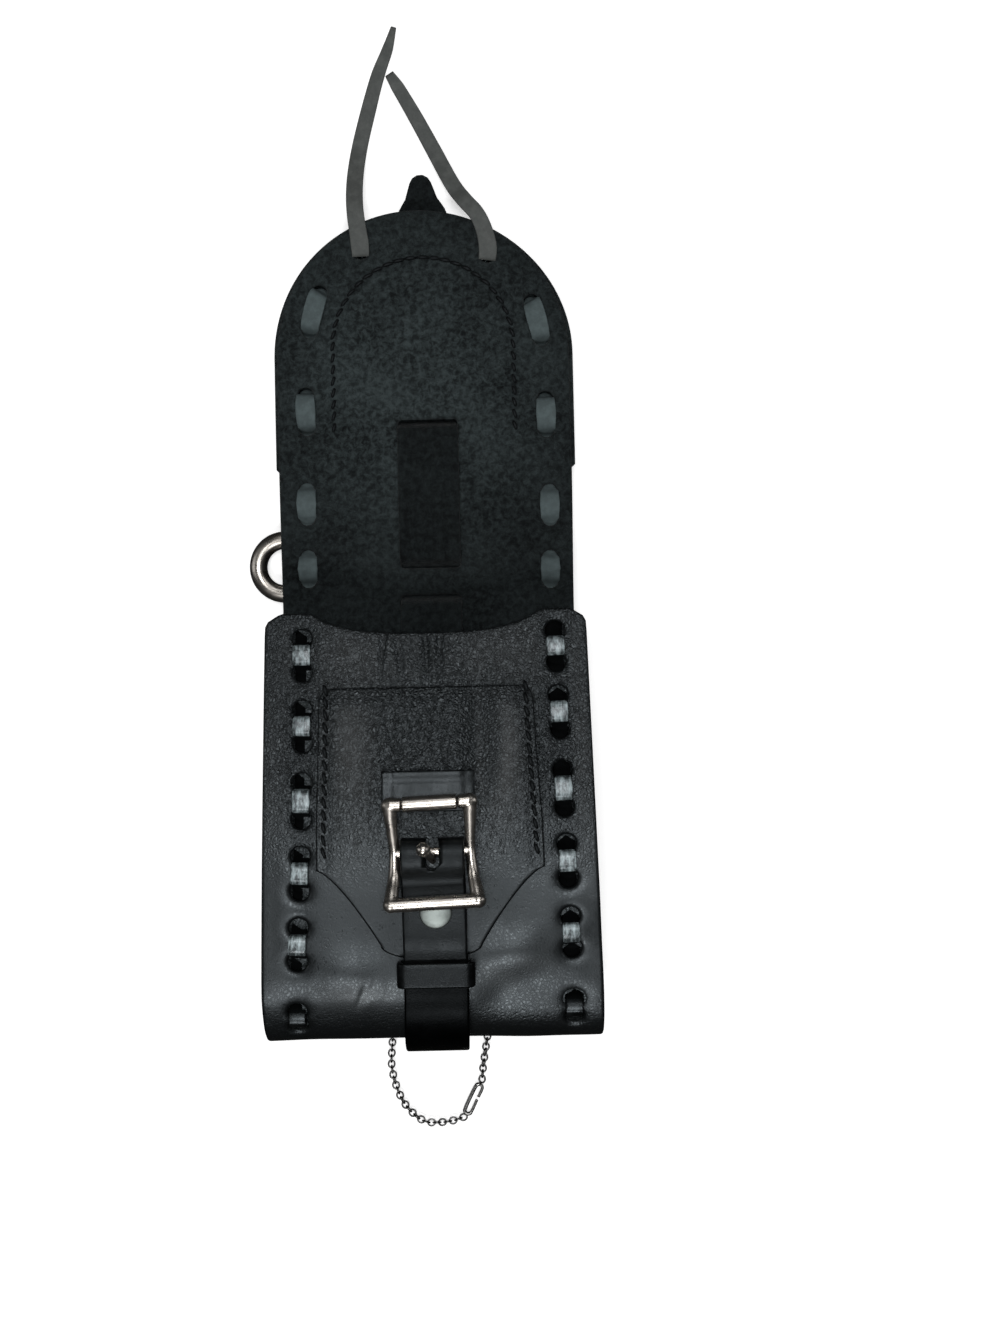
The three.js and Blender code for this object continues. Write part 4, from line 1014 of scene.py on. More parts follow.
def strapStops():
    # (y, z, width, x) from the pointed end, up through the flap, round the base and over the buckle's bar.
    s, b = strapSet, buckleSet
    wide, narrow, floorZ, slitX, frontX = s["width"], s["narrow"], s["floorZ"], s["slitX"], s["frontX"]
    tipLength = s["tip"][-1][0]
    stops = []
    for back, width in s["tip"]:
        stops.append((s["tipY"] - back, floorZ, width, mix(s["tipX"], slitX, back / tipLength)))
    stops += [(112, floorZ, wide, slitX), (108, 1.6, wide, slitX)]
    stops += throughSlit(s["slits"]["upper"], half + gap + flapSet["facing"], True)
    stops += throughSlit(s["slits"]["middle"], half, False)
    stops += throughSlit(s["slits"]["lower"], half, True)
    stops += throughSlit(s["slits"]["inside"], half, False)
    stops += [(33.5, 2.9, wide, 0.5), (30.5, 1.3, wide, 0.3), (27.5, floorZ, wide, 0), (-33, floorZ, wide, 0)]
    # round the base it moves over from the middle of the back to frontX
    for k in range(7):
        a = mix(0.1, math.pi / 2, k / 6)
        z = bendZ - (bendZ - floorZ) * math.cos(a)
        stops.append((-36 - s["backTurn"] * math.sin(a), z, wide, frontX * a / math.pi))
    for k in range(1, 8):
        a = mix(math.pi / 2, math.pi, k / 7)
        z = bendZ - (s["frontRise"] - s["frontFall"] * smooth(a, 2.0, math.pi)) * math.cos(a)
        stops.append((path["base"] - s["frontTurn"] * math.sin(a), z, wide, frontX * a / math.pi))
    stops += [(-36, 37.65, wide, frontX), (-32.4, 37.9, wide, frontX), (-29.6, 38.9, narrow, frontX)]
    centreX = b["centreX"]
    stops += [(-26.6, 39.45, narrow, frontX), (-12.5, 39.5, narrow, centreX), (-9, 41.2, narrow, centreX)]
    folded = b["barRadius"] + gap + s["thickness"] / 2
    for k in range(9):
        a = mix(math.pi / 2, -math.pi / 2, k / 8)
        y, z = b["barY"] + 0.2 + folded * math.cos(a), b["barZ"] + folded * math.sin(a)
        stops.append((y, z, narrow, centreX))
    stops += [(-9.4, 37, narrow, centreX), (-18, 37.2, narrow, frontX), (-25.4, 37.35, narrow, frontX)]
    return stops


def carve(piece, cutter):
    # Takes the cutter's space out of the piece, then throws the cutter away.
    modifier = piece.modifiers.new("carve", "BOOLEAN")
    modifier.operation = "DIFFERENCE"
    modifier.solver = "EXACT"
    modifier.object = cutter
    carved = bpy.data.meshes.new_from_object(piece.evaluated_get(bpy.context.evaluated_depsgraph_get()))
    old = piece.data
    piece.modifiers.clear()
    piece.data = carved
    bpy.data.meshes.remove(old)
    bpy.data.objects.remove(cutter)


def makeLongStrap():
    stops = strapStops()
    points, marks = curveThrough([Vector((x, y, z)) for y, z, _, x in stops], 1.2)
    widths = [atMark([stop[2] for stop in stops], mark) for mark in marks]
    count = len(points)
    thick = [strapSet["thickness"]] * count
    # the pointed end is thinned and rounded off
    for i, (narrower, thinner) in enumerate(((0.45, 0.5), (0.75, 0.8), (0.92, 0.95))):
        widths[i] *= narrower
        thick[i] *= thinner
    section = roundedBar(0.62, strapSet["thickness"] / strapSet["width"], 4, 10)
    bm = sweep(points, widths, thick, [Vector((1, 0, 0))] * count, section)
    scaleToMetres(bm)
    # up to the base its flesh side is uppermost, and round the base it lies in shade
    fleshY, fleshZ, shadeY = (strapSet[key] * mm for key in ("fleshY", "fleshZ", "shadeY"))
    for face in bm.faces:
        middle = face.calc_center_median()
        fleshUp = middle.y > fleshY and middle.z < fleshZ and face.normal.z > -0.2
        face.material_index = 1 if fleshUp else 2 if middle.y < shadeY else 0
    materials = [finish["strap"], finish["darkNap"], finish["strapShade"]]
    strap = newPiece("long_strap_leather", bm, materials, replaces=["long_strap"])
    # the long hole that the prong comes through, over the bar
    radius, reach = strapSet["prongHole"]
    slot = bmesh.new()
    bmesh.ops.create_cone(slot, segments=24, radius1=radius, radius2=radius, depth=14, cap_ends=True)
    for v in slot.verts:
        v.co.y += reach if v.co.y > 0 else -reach
        v.co += Vector((buckleSet["centreX"], buckleSet["barY"] - 0.1, buckleSet["barZ"]))
    scaleToMetres(slot)
    mesh = bpy.data.meshes.new("slot")
    slot.to_mesh(mesh)
    slot.free()
    cutter = bpy.data.objects.new("slot", mesh)
    bpy.context.scene.collection.objects.link(cutter)
    bpy.context.view_layer.update()
    carve(strap, cutter)
    strap.data.shade_smooth()
    return strap


keeperSet = {
    "y": -35.2, "length": 6.0, "half": 9.4, "thickness": 1.3, "lowZ": 35.1, "highZ": 40.6,
    "topCorner": 1.5, "lowCorner": 0.9,
}


def makeKeeper():
    k = keeperSet
    middle = (k["lowZ"] + k["highZ"]) / 2
    inset = k["thickness"] / 2
    wide, tall = k["half"] - inset, (k["highZ"] - k["lowZ"]) / 2 - inset
    points = []
    for qx, qz, start in ((1, 1, 0), (-1, 1, 90), (-1, -1, 180), (1, -1, 270)):
        corner = k["topCorner"] if qz > 0 else k["lowCorner"]
        cornerX, cornerZ = strapSet["frontX"] + qx * (wide - corner), middle + qz * (tall - corner)
        for j in range(6):
            a = math.radians(start + 90 * j / 5)
            points.append(Vector((cornerX + corner * math.cos(a), k["y"], cornerZ + corner * math.sin(a))))
    route = alongLoop(points, 0.9)
    count = len(route)
    bm = sweep(route, [k["length"]] * count, [k["thickness"]] * count, [Vector((0, 1, 0))] * count,
               roundedBar(0.7, k["thickness"] / k["length"], 4, 5), close=True)
    scaleToMetres(bm)
    return newPiece("strap_keeper_leather", bm, [finish["keeper"]],
                    replaces=["strap_keeper"])


makeLongStrap()
makeKeeper()
print("strap made")


# the laces lie this far out from the middle of the leather, and a gusset's edge lies between them inside
laceTop = half + gap + 0.1 + laceSet["thickness"] / 2
gussetSet = {"endY": 48.8, "thickness": 1.4}


def outerLift(s):
    faced = s < 0 and onBackY(s) > panelSet["lowerY"] - 0.5
    return laceTop + (gap + flapSet["facing"] if faced else 0)


def innerLift(s):
    return -laceTop - (gap + gussetSet["thickness"] if s > backS(gussetSet["endY"] + 4) else 0)


def laceWidthAt(s):
    # The stretches on the flap lie flatter and wider than the ones pulled tight on the front.
    return mix(laceSet["flapWidth"], laceSet["width"], smooth(s, backS(52.0), backS(44.0)))


def laceStops(holes):
    # (s, x, lift, width, turn): over the leather between one pair of holes, and under it between the next.
    dip, slack, pinched = laceSet["dip"], laceSet["slack"], laceSet["pinched"]
    stops = []
    for i, (s, x) in enumerate(holes):
        goesOut = i % 2 == 0
        sign = 1 if goesOut else -1
        start, end = (innerLift(s), outerLift(s)) if goesOut else (outerLift(s), innerLift(s))
        turn = laceTurn(holes, i)
        before = Vector(holes[i - 1] if i else (2 * s - holes[1][0], 2 * x - holes[1][1])) - Vector((s, x))
        after = -before if i + 1 == len(holes) else Vector(holes[i + 1]) - Vector((s, x))
        before.normalize()
        after.normalize()

        def place(way, reach, lift, width):
            stops.append((s + way.x * reach, x + way.y * reach, lift, width, turn))

        wide = laceWidthAt(s)
        steep = s > backS(50.0)
        far, near = laceSet["frontReach"] if steep else laceSet["flapReach"]
        # on the front it goes down close to the rim that it comes over, so the rest of the hole stays open
        shift = sign * laceSet["shift"] if s > bendLength else 0.0
        if i:
            place(before, far, start, wide)
            place(before, near - shift, start + sign * dip, wide * pinched)
        else:
            place(before, 0.0, 0.4, laceSet["throatWidth"])
        place(after, near + shift, end - sign * dip, wide * pinched)
        place(after, far, end, wide)
        if i + 1 < len(holes):
            nextS, nextX = holes[i + 1]
            edge = backS(panelSet["lowerY"] - 0.45)
            between = [bendLength * k / 14 for k in range(15)] + [mix(s, nextS, 0.5)]
            if goesOut:
                between.append(edge)
            for stop in sorted(between):
                spare = 1.0 if stop == edge else 2.4
                if s + 2.4 < stop < nextS - spare:
                    lift = outerLift(stop) + slack if goesOut else innerLift(stop) - slack
                    stopX = mix(x, nextX, (stop - s) / (nextS - s))
                    stops.append((stop, stopX, lift, laceWidthAt(stop) * 1.03, turn))
        else:
            place(after, 4.0, end, laceSet["width"])
    return stops


laceSection = roundedBar(0.6, laceSet["thickness"] / laceSet["width"], 3, 3)


def makeLace(side):
    stops = laceStops(laceHoles[side])
    flat, marks = curveThrough([Vector(stop[:3]) for stop in stops], 0.7)
    points, across, widths = [], [], []
    for p, mark in zip(flat, marks):
        turn = atMark([stop[4] for stop in stops], mark)
        here = bend(p.x, p.y, p.z)
        points.append(here)
        across.append((bend(p.x - math.sin(turn) * 0.5, p.y + math.cos(turn) * 0.5, p.z) - here).normalized())
        widths.append(atMark([stop[3] for stop in stops], mark))
    count = len(points)
    bm = sweep(points, widths, [laceSet["thickness"]] * count, across, laceSection)
    scaleToMetres(bm)
    # the stretch on the flap is duller than the one handled on the front; inside the pouch, and round the
    # base, it gets darker finishes as painted shade
    shadeStart, shadeEnd = laceSet["baseShade"]
    for i, face in enumerate(bm.faces):
        p = flat[min(i // len(laceSection), count - 1)]
        onFront = p.x > bendLength
        inside = p.x > backS(50.0) and p.z < half - 0.25
        onBase = bendLength + shadeStart < p.x < bendLength + shadeEnd
        face.material_index = 2 if inside else 3 if onBase else 0 if onFront else 1
    materials = [finish[name] for name in ("lace", "laceDull", "laceDark", "laceBaseShade")]
    node = "lace_" + side.lower()
    return newPiece(node + "_leather", bm, materials, replaces=[node])


# (x, y, z, width) from the hole to the free end
tailSet = {
    "Left": [(-15.5, 144.4, 8.3, 4.4), (-15.6, 147.2, 9.0, 4.7), (-16.2, 151.8, 9.0, 4.5),
             (-16.7, 156.5, 8.9, 4.4), (-16.9, 164.0, 5.4, 4.3), (-16.0, 173.8, 0.9, 4.1),
             (-13.3, 184.6, 0.6, 3.9), (-10.5, 194.1, 0.6, 3.5), (-7.9, 200.7, 0.6, 2.8),
             (-6.2, 206.3, 0.6, 1.4)],
    "Right": [(17.0, 142.8, 8.3, 4.4), (17.3, 145.7, 9.0, 4.7), (16.4, 150.5, 9.0, 4.3),
              (14.6, 154.6, 9.0, 4.1), (11.6, 158.4, 7.9, 4.1), (8.8, 162.9, 4.8, 4.1),
              (3.6, 173.8, 0.9, 4.0), (-0.9, 182.5, 0.6, 3.8), (-5.5, 190.7, 0.6, 3.4),
              (-7.6, 194.1, 0.6, 2.4)],
}


def makeTail(side):
    stops = tailSet[side]
    points, marks = curveThrough([Vector(stop[:3]) for stop in stops], 1.0)
    widths = [atMark([stop[3] for stop in stops], mark) for mark in marks]
    count = len(points)
    across = []
    for i in range(count):
        along = points[min(i + 1, count - 1)] - points[max(i - 1, 0)]
        across.append(along.cross(Vector((0, 0, 1))).normalized())
    bm = sweep(points, widths, [laceSet["thickness"]] * count, across, laceSection)
    scaleToMetres(bm)
    node = "lace_tail_" + side.lower()
    piece = newPiece(node + "_leather", bm, [finish["tail"]], replaces=[node])
    return piece


for side in ("Left", "Right"):
    makeLace(side)
    makeTail(side)
print("laces woven")


# the stitches on the pocket, and on both faces of the flap
stitchSet = {
    "pitch": 3.0, "length": 2.5, "radius": 0.5, "lean": 0.8, "uneven": 0.2, "start": 0.4,
    # how far the flap's seam lies inside its patch, at the sides and at the top
    "seamIn": 2.3, "seamBelow": 1.9,
}


def stitchRun(route, lift, side):
    # Stitches along a route of (x, s) points on one face of the leather. side is 1 outside and -1 inside.
    bm = bmesh.new()
    t = stitchSet
    travel, walk = [0.0], t["start"]
    for a, b in zip(route, route[1:]):
        travel.append(travel[-1] + (b - a).length)

    def at(distance):
        i = max(k for k in range(len(travel)) if travel[k] <= distance or k == 0)
        i = min(i, len(route) - 2)
        return route[i].lerp(route[i + 1], (distance - travel[i]) / (travel[i + 1] - travel[i]))

    while walk + t["length"] < travel[-1]:
        points, widths = [], []
        lean = t["lean"] + random.uniform(-t["uneven"], t["uneven"])
        for k in range(7):
            u = k / 6
            flat = at(walk + t["length"] * u)
            height = t["radius"] * (0.9 * math.sin(math.pi * u) - 0.55) + (0 if 0 < k < 6 else -0.2)
            points.append(bend(flat.y, flat.x + lean * (u - 0.5), lift + side * height))
            widths.append(2 * t["radius"] * (0.55 if k in (0, 6) else 0.9 if k in (1, 5) else 1.0))
        count = len(points)
        mergeInto(bm, sweep(points, widths, widths, [Vector((1, 0.01, 0.3))] * count, roundRod(6)))
        walk += t["pitch"]
    return bm


def makeStitches(name, routes, lift, side):
    bm = bmesh.new()
    for route in routes:
        mergeInto(bm, stitchRun([Vector(p) for p in route], lift, side))
    scaleToMetres(bm)
    return newPiece(name, bm, [finish["thread"]])


def makeAllStitches():
    # two straight rows down the pocket, and the arch of the patch seen from both faces of the flap
    seamX = pocketSet["half"] - pocketSet["stitchInset"]
    highY, lowY = pocketSet["topY"] + 1.2, pocketSet["shoulderY"] + 0.5
    ys = [mix(highY, lowY, k / 8) for k in range(9)]
    right, left = ([(x * pocketTaper(x, y), frontS(y)) for y in ys] for x in (seamX, -seamX))
    pocketTop = half + gap + pocketSet["thickness"]
    makeStitches("pocket_stitches", [right, left], pocketTop, 1)
    f = flapSet
    seamHalf = f["patchHalf"] - stitchSet["seamIn"]
    arch = archPoints(seamHalf, f["patchTop"] - stitchSet["seamBelow"], f["patchRise"] - 1.0)
    arch = [(x, backS(y)) for x, y in arch + [(seamHalf, f["patchLow"] + 1.5)]]
    whole = [(-x, s) for x, s in reversed(arch)] + arch[1:]
    makeStitches("flap_stitches_inside", [whole], -half, -1)
    makeStitches("flap_stitches_outside", [whole], half + 2 * gap + f["facing"] + f["patch"], 1)


makeAllStitches()
print("stitches sewn")


# buckle, roller and prong are made round the middle of the bar, with x along it and y towards the roller
def atBuckle(bm):
    b = buckleSet
    bmesh.ops.rotate(bm, cent=(0, 0, 0), matrix=Matrix.Rotation(b["turn"], 3, "Z"), verts=bm.verts)
    bmesh.ops.translate(bm, vec=(b["centreX"], b["barY"], b["barZ"]), verts=bm.verts)
    scaleToMetres(bm)
    return bm


def quarterTurn(steps):
    return [math.pi / 2 * k / steps for k in range(steps + 1)]


def lathe(profile, steps):
    # Turns a profile of (radius, height) points into a closed solid round Z.
    bm = bmesh.new()
    verts = [bm.verts.new((r, 0, z)) for r, z in profile]
    edges = [bm.edges.new((a, b)) for a, b in zip(verts, verts[1:])]
    bmesh.ops.spin(bm, geom=verts + edges, cent=(0, 0, 0), axis=(0, 0, 1), angle=2 * math.pi, steps=steps,
                   use_merge=True)
    bmesh.ops.remove_doubles(bm, verts=bm.verts, dist=1e-4)
    bmesh.ops.recalc_face_normals(bm, faces=bm.faces)
    return bm


def fused(bm, size):
    # The overlapping parts become one skin, with soft fillets where they meet.
    mesh = bpy.data.meshes.new("fused")
    bm.to_mesh(mesh)
    bm.free()
    shape = bpy.data.objects.new("fused", mesh)
    bpy.context.scene.collection.objects.link(shape)
    remesh = shape.modifiers.new("remesh", "REMESH")
    remesh.mode = "VOXEL"
    remesh.voxel_size = size * mm
    relax = shape.modifiers.new("relax", "SMOOTH")
    relax.factor = 0.5
    relax.iterations = 4
    bpy.context.view_layer.update()
    done = bpy.data.meshes.new_from_object(shape.evaluated_get(bpy.context.evaluated_depsgraph_get()))
    bpy.data.objects.remove(shape)
    bpy.data.meshes.remove(mesh)
    out = bmesh.new()
    out.from_mesh(done)
    bpy.data.meshes.remove(done)
    return out


def rodThrough(stops, up=(0, 0, 1)):
    # A rod through (x, y, z, diameter) stops.
    points, marks = curveThrough([Vector(stop[:3]) for stop in stops], 0.5)
    sizes = [atMark([stop[3] for stop in stops], mark) for mark in marks]
    return sweep(points, sizes, sizes, [Vector(up)] * len(points), roundRod(20))


def ballAt(place, radius, flat=1.0):
    bm = bmesh.new()
    bmesh.ops.create_uvsphere(bm, u_segments=24, v_segments=14, radius=radius)
    bmesh.ops.scale(bm, vec=(1, 1, flat), verts=bm.verts)
    bmesh.ops.translate(bm, vec=place, verts=bm.verts)
    return bm


def makeBuckleFrame():
    b = buckleSet
    reach, lift, cornerX = b["rollerReach"], b["rollerLift"], b["cornerX"]
    heelY, heelZ, heelHalf = -b["heelReach"], b["heelLift"], b["heelHalf"]
    armWidth = b["armWidth"]
    arm = [(cornerX, reach, lift, armWidth), *b["arm"], (heelHalf, heelY, heelZ, b["armHeel"])]
    whole = bmesh.new()
    for side in (-1, 1):
        mergeInto(whole, rodThrough([(side * x, y, z, wide) for x, y, z, wide in arm]))
        stub = [(side * (b["rollerHalf"] + gap), reach, lift, armWidth),
                (side * cornerX, reach, lift, b["stubWidth"])]
        mergeInto(whole, rodThrough(stub, up=(0, 1, 0)))
        corner = (side * b["ballX"], reach - b["ballBack"], lift)
        mergeInto(whole, ballAt(corner, b["ballRadius"], b["ballFlat"]))
        mergeInto(whole, ballAt((side * heelHalf, heelY, heelZ), b["heelRadius"] + 0.25))
    for y, z, wide, halfLong in ((heelY, heelZ, 2 * b["heelRadius"] + 0.3, heelHalf),
                                 (0, 0, 2 * b["barRadius"], b["barHalf"]),
                                 (reach, lift, 2 * b["axleRadius"], cornerX)):
        mergeInto(whole, rodThrough([(-halfLong, y, z, wide), (halfLong, y, z, wide)], up=(0, 1, 0)))
    skin = fused(atBuckle(whole), 0.2)
    return newPiece("buckle_frame_metal", skin, [finish["nickel"]], "frame", ["buckle_frame"])


def makeRoller():
    b = buckleSet
    inner, outer, long, r = b["axleRadius"] + gap, b["rollerRadius"], b["rollerHalf"], b["rollerEdge"]
    profile = [(inner, -long + 0.1), (inner + 0.1, -long)]
    profile += [(outer - r + r * math.sin(a), -long + r - r * math.cos(a)) for a in quarterTurn(5)]
    profile += [(outer, mix(-long + r, long - r, k / 6)) for k in range(1, 6)]
    profile += [(outer - r + r * math.cos(a), long - r + r * math.sin(a)) for a in quarterTurn(5)]
    profile += [(inner + 0.1, long), (inner, long - 0.1), (inner, -long + 0.1)]
    bm = lathe(profile, 40)
    bmesh.ops.rotate(bm, cent=(0, 0, 0), matrix=Matrix.Rotation(math.pi / 2, 3, "Y"), verts=bm.verts)
    bmesh.ops.translate(bm, vec=(0, b["rollerReach"], b["rollerLift"]), verts=bm.verts)
    return newPiece("buckle_roller_metal", atBuckle(bm), [finish["nickel"]], "roller",
                    ["buckle_roller"])


prongSet = {
    "rootRadius": 0.8, "raise": math.radians(66), "wrap": math.radians(120), "lean": -0.14,
    # (reach, diameter, rise): the tip rises a little, so that it lies on the roller when the prong is down
    "stops": [(1.6, 1.8, 0), (3.4, 2.0, 0), (6.5, 2.1, 0.1), (8.8, 2.1, 0.4), (10.0, 2.9, 0.6),
              (11.2, 3.4, 0.68), (12.1, 3.0, 0.7), (12.6, 1.9, 0.7), (12.8, 0.7, 0.7)],
}


def makeProng():
    p = prongSet
    around = buckleSet["barRadius"] + gap + p["rootRadius"]
    tangent = p["raise"] + math.pi / 2
    route, sizes = [], []
    for k in range(12):
        a = mix(tangent + p["wrap"], tangent, k / 11)
        route.append(Vector((0, around * math.cos(a), around * math.sin(a))))
        sizes.append(1.7 * p["rootRadius"])
    leaves = route[-1]
    way = Vector((p["lean"], math.cos(p["raise"]), math.sin(p["raise"])))
    up = Vector((0, -math.sin(p["raise"]), math.cos(p["raise"])))
    for reach, size, rise in p["stops"]:
        route.append(leaves + way * reach + up * rise)
        sizes.append(size)
    points, marks = curveThrough(route, 0.4)
    sizes = [atMark(sizes, mark) for mark in marks]
    bm = sweep(points, sizes, sizes, [Vector((1, 0, 0))] * len(points), roundRod(16))
    return newPiece("buckle_prong_metal", atBuckle(bm), [finish["nickel"]], "prong",
                    ["buckle_prong"])


rivetSet = {
    "x": 1.4, "y": -20.0, "radius": 3.9, "height": 0.9, "rim": 0.3, "shank": 1.3,
    "seatZ": 40.65, "lowZ": 36.9,
}


def makeRivet():
    r = rivetSet
    seatZ, radius, shank = r["seatZ"], r["radius"], r["shank"]
    profile = [(0, r["lowZ"]), (shank, r["lowZ"]), (shank, seatZ), (radius - 0.15, seatZ)]
    profile.append((radius, seatZ + 0.12))
    for a in quarterTurn(8)[1:]:
        profile.append((radius * math.cos(a), seatZ + r["rim"] + (r["height"] - r["rim"]) * math.sin(a)))
    bm = lathe(profile, 40)
    bmesh.ops.translate(bm, vec=(r["x"], r["y"], 0), verts=bm.verts)
    scaleToMetres(bm)
    return newPiece("chape_rivet_metal", bm, [finish["rivet"]], replaces=["chape_rivet"])


makeBuckleFrame()
makeRoller()
makeProng()
makeRivet()
print("buckle made")


# the ring at the side, and the tab that holds it
ringSet = {"x": -37.5, "y": 65.2, "radius": 7.0, "tube": 2.3, "lowZ": 2.4, "highZ": 3.55}
tabSet = {"width": 4.6, "thickness": 0.9, "endX": -10.0, "wireX": -30.7}


def makeRing():
    r = ringSet
    steps = 72
    tilt = math.atan2(r["highZ"] - r["lowZ"], 2 * r["radius"])
    points = []
    for k in range(steps):
        a = 2 * math.pi * k / steps
        flatX = r["radius"] * math.cos(a)
        points.append(Vector((r["x"] + flatX * math.cos(tilt), r["y"] + r["radius"] * math.sin(a),
                              (r["lowZ"] + r["highZ"]) / 2 + flatX * math.sin(tilt))))
    sizes = [2 * r["tube"]] * steps
    across = [Vector((-math.sin(tilt), 0, math.cos(tilt)))] * steps
    bm = sweep(points, sizes, sizes, across, roundRod(28), close=True)
    scaleToMetres(bm)
    return newPiece("side_ring_metal", bm, [finish["nickel"]], "ring", ["side_ring"])


def makeRingTab():
    t, r = tabSet, ringSet
    upperZ = path["backZ"] - half - gap - t["thickness"] / 2
    lowerZ = upperZ - t["thickness"] - gap
    around = r["tube"] + gap + t["thickness"] / 2 - 0.05
    wireX, endX = t["wireX"], t["endX"]
    stops = [(endX, upperZ), (-18, upperZ), (wireX + 6, upperZ), (wireX + 3, upperZ - 0.5)]
    for k in range(10):
        a = mix(math.pi / 2, math.radians(290), k / 9)
        stops.append((wireX + around * math.cos(a), r["highZ"] + around * math.sin(a)))
    stops += [(wireX + 3.4, 2.4), (wireX + 5.6, 4.7), (wireX + 8, lowerZ), (-16, lowerZ), (endX, lowerZ)]
    points, _ = curveThrough([Vector((x, r["y"], z)) for x, z in stops], 0.6)
    count = len(points)
    bm = sweep(points, [t["width"]] * count, [t["thickness"]] * count, [Vector((0, 1, 0))] * count,
               roundedBar(0.6, t["thickness"] / t["width"], 3, 4))
    scaleToMetres(bm)
    return newPiece("ring_tab_leather", bm, [finish["strap"]], replaces=["ring_tab"])


makeRing()
makeRingTab()
print("ring made")


# the chain and its hook
chainSet = {
    "pitch": 1.42, "wire": 0.25, "radius": 0.84, "stretch": 0.16, "lean": 14.0, "uneven": 12.0,
    "route": [(5.8, -79.9, 1.1), (3.6, -80.6, 1.1), (0.2, -81.1, 1.1), (-4.4, -80.7, 1.1), (-8.8, -77, 1.1),
              (-11.4, -72, 1.1), (-12.7, -66, 1.1), (-12.4, -60, 1.2), (-12, -55.5, 2.8), (-10.9, -51.5, 6.2),
              (-8.4, -49.4, 8.8), (-4, -48.9, 9), (0.5, -48.8, 9), (5.4, -48.9, 9), (9.8, -49.4, 8.8),
              (12, -51.5, 6.2), (12.9, -55.5, 2.8), (12.3, -60.3, 1.2), (11.3, -66.4, 1.1), (10.9, -70, 1.1)],
    "claspHead": (10.4, -71.5, 1.1), "claspTail": (6.7, -78.9, 1.1),
    "claspReach": 4.2, "claspHalf": 0.9, "claspWire": 0.4,
}


def makeChain():
    c = chainSet
    points, _ = curveThrough([Vector(p) for p in c["route"]], 0.2)
    travel = [0.0]
    for a, b in zip(points, points[1:]):
        travel.append(travel[-1] + (b - a).length)
    count = int(travel[-1] / c["pitch"])
    pitch = travel[-1] / count
    bm = bmesh.new()
    index = 0
    longways = c["radius"] * (1 + c["stretch"])
    for number in range(count + 1):
        target = number * pitch
        while index < len(travel) - 2 and travel[index + 1] < target:
            index += 1
        part = (target - travel[index]) / max(1e-6, travel[index + 1] - travel[index])
        middle = points[index].lerp(points[index + 1], part)
        along = (points[min(index + 2, len(points) - 1)] - points[max(index - 1, 0)]).normalized()
        side = Vector((0, 0, 1)).cross(along).normalized()
        up = along.cross(side).normalized()
        lean = math.radians(c["lean"] + random.uniform(-c["uneven"], c["uneven"]))
        lean += math.pi / 2 if number % 2 else 0
        across = side * math.cos(lean) + up * math.sin(lean)
        normal = along.cross(across)
        route = []
        for k in range(12):
            a = 2 * math.pi * k / 12
            route.append(middle + along * longways * math.cos(a) + across * c["radius"] * math.sin(a))
        sizes = [2 * c["wire"]] * 12
        mergeInto(bm, sweep(route, sizes, sizes, [normal] * 12, roundRod(6), close=True))
    scaleToMetres(bm)
    return newPiece("chain_links", bm, [finish["chain"]], replaces=["chain"])


def makeClasp():
    # A long open hook, thicker over the middle of its length.
    c = chainSet
    head, tail = Vector(c["claspHead"]), Vector(c["claspTail"])
    along = (tail - head).normalized()
    side = Vector((0, 0, 1)).cross(along)
    middle = (head + tail) / 2
    reach, wide = c["claspReach"], c["claspHalf"]
    stops = [(-reach * 0.25, wide)]
    for sign in (-1, 1):
        for k in range(7):
            a = mix(-math.pi / 2, math.pi / 2, k / 6)
            stops.append((sign * (reach - wide + wide * math.cos(a)), wide * math.sin(a) * sign))
    stops.append((-reach * 0.05, wide))
    points, _ = curveThrough([middle + along * a + side * b for a, b in stops], 0.3)
    count = len(points)
    sizes = [2 * c["claspWire"] * (1.25 if 0.2 < k / count < 0.8 else 1.0) for k in range(count)]
    bm = sweep(points, sizes, sizes, [Vector((0, 0, 1))] * count, roundRod(10))
    scaleToMetres(bm)
    return newPiece("chain_clasp_metal", bm, [finish["clasp"]], replaces=["chain_clasp"])


makeChain()
makeClasp()
print("chain made")


# the gussets keep their solids, in leather
for node in ("gusset_left", "gusset_right"):
    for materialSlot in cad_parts[node].material_slots:
        materialSlot.material = finish["gusset"]


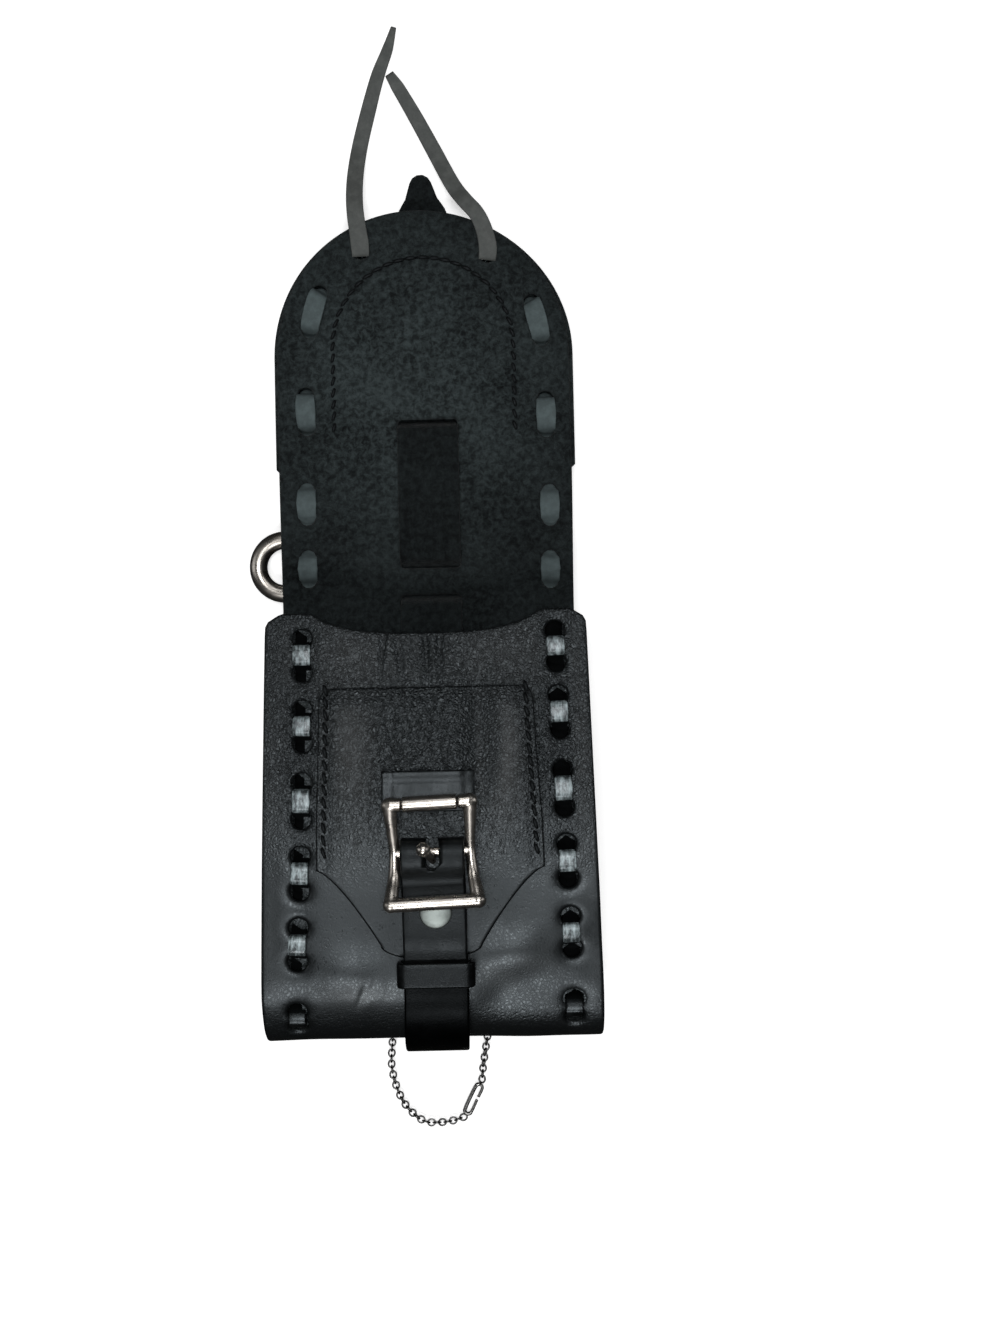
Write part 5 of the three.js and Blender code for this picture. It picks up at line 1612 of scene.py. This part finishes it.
# floor and light
lightSet = {
    "world": 0.02, "worldSeen": 0.95, "floorSeen": (0.92, 0.92, 0.92, 1.0),
    "floorBounce": (0.02, 0.02, 0.02, 1.0), "floorGlow": 0.5, "floorHalf": 3.0, "floorBelow": 0.2,
    # (name, place, aim, size, power) of the soft lights, in metres and watts
    "boxes": [
        ("overheadSoftbox", (0.03, 0.13, 1.1), (0.02, 0.04, 0), (0.45, 0.4), 5.2),
        ("keySoftbox", (-0.1, -0.62, 1.0), (0, 0.0, 0), (0.5, 0.18), 4.7),
        ("backSoftbox", (0.1, 0.8, 0.95), (0, 0.04, 0), (0.9, 0.3), 2.0),
        ("leftSoftbox", (-1.0, 0.2, 0.5), (0, 0.04, 0), (0.4, 0.8), 0.9),
        ("rightSoftbox", (1.0, 0.3, 0.5), (0, 0.04, 0), (0.4, 0.8), 0.9),
    ],
}


def makeStage():
    bm = bmesh.new()
    bmesh.ops.create_grid(bm, x_segments=1, y_segments=1, size=lightSet["floorHalf"])
    mesh = bpy.data.meshes.new("floor")
    bm.to_mesh(mesh)
    bm.free()
    floor = bpy.data.objects.new("floor", mesh)
    floor.location.z = cadBox[0][2] - lightSet["floorBelow"] * mm
    bpy.context.scene.collection.objects.link(floor)
    material, tree, sockets = startMaterial("paleFloor", 0.9, 0.0)
    sockets["Emission Color"].default_value = (1.0, 1.0, 1.0, 1.0)
    # pale to the camera, and darker to bounced light, as a flagged studio table is
    seen = addNode(tree, "ShaderNodeLightPath").outputs["Is Camera Ray"]
    feed(tree, mixColors(tree, seen, lightSet["floorBounce"], lightSet["floorSeen"]), sockets["Base Color"])
    feed(tree, spread(tree, seen, 0.0, 1.0, 0.0, lightSet["floorGlow"]), sockets["Emission Strength"])
    mesh.materials.append(material)


def makeLight(name, place, aim, size, power):
    data = bpy.data.lights.new(name, "AREA")
    data.shape = "RECTANGLE"
    data.size, data.size_y = size
    data.energy = power
    light = bpy.data.objects.new(name, data)
    light.location = place
    light.rotation_euler = (Vector(aim) - Vector(place)).to_track_quat("-Z", "Y").to_euler()
    bpy.context.scene.collection.objects.link(light)


def makeWorld():
    # a bright backdrop to the camera that lights the pouch only faintly
    world = bpy.data.worlds.new("studio")
    bpy.context.scene.world = world
    world.use_nodes = True
    tree = world.node_tree
    background = tree.nodes["Background"].inputs
    background["Color"].default_value = (1, 1, 1, 1)
    seen = addNode(tree, "ShaderNodeLightPath").outputs["Is Camera Ray"]
    feed(tree, spread(tree, seen, 0.0, 1.0, lightSet["world"], lightSet["worldSeen"]), background["Strength"])
    bpy.context.scene.view_settings.view_transform = "Standard"


makeStage()
makeWorld()
for box in lightSet["boxes"]:
    makeLight(*box)
print("stage lit")
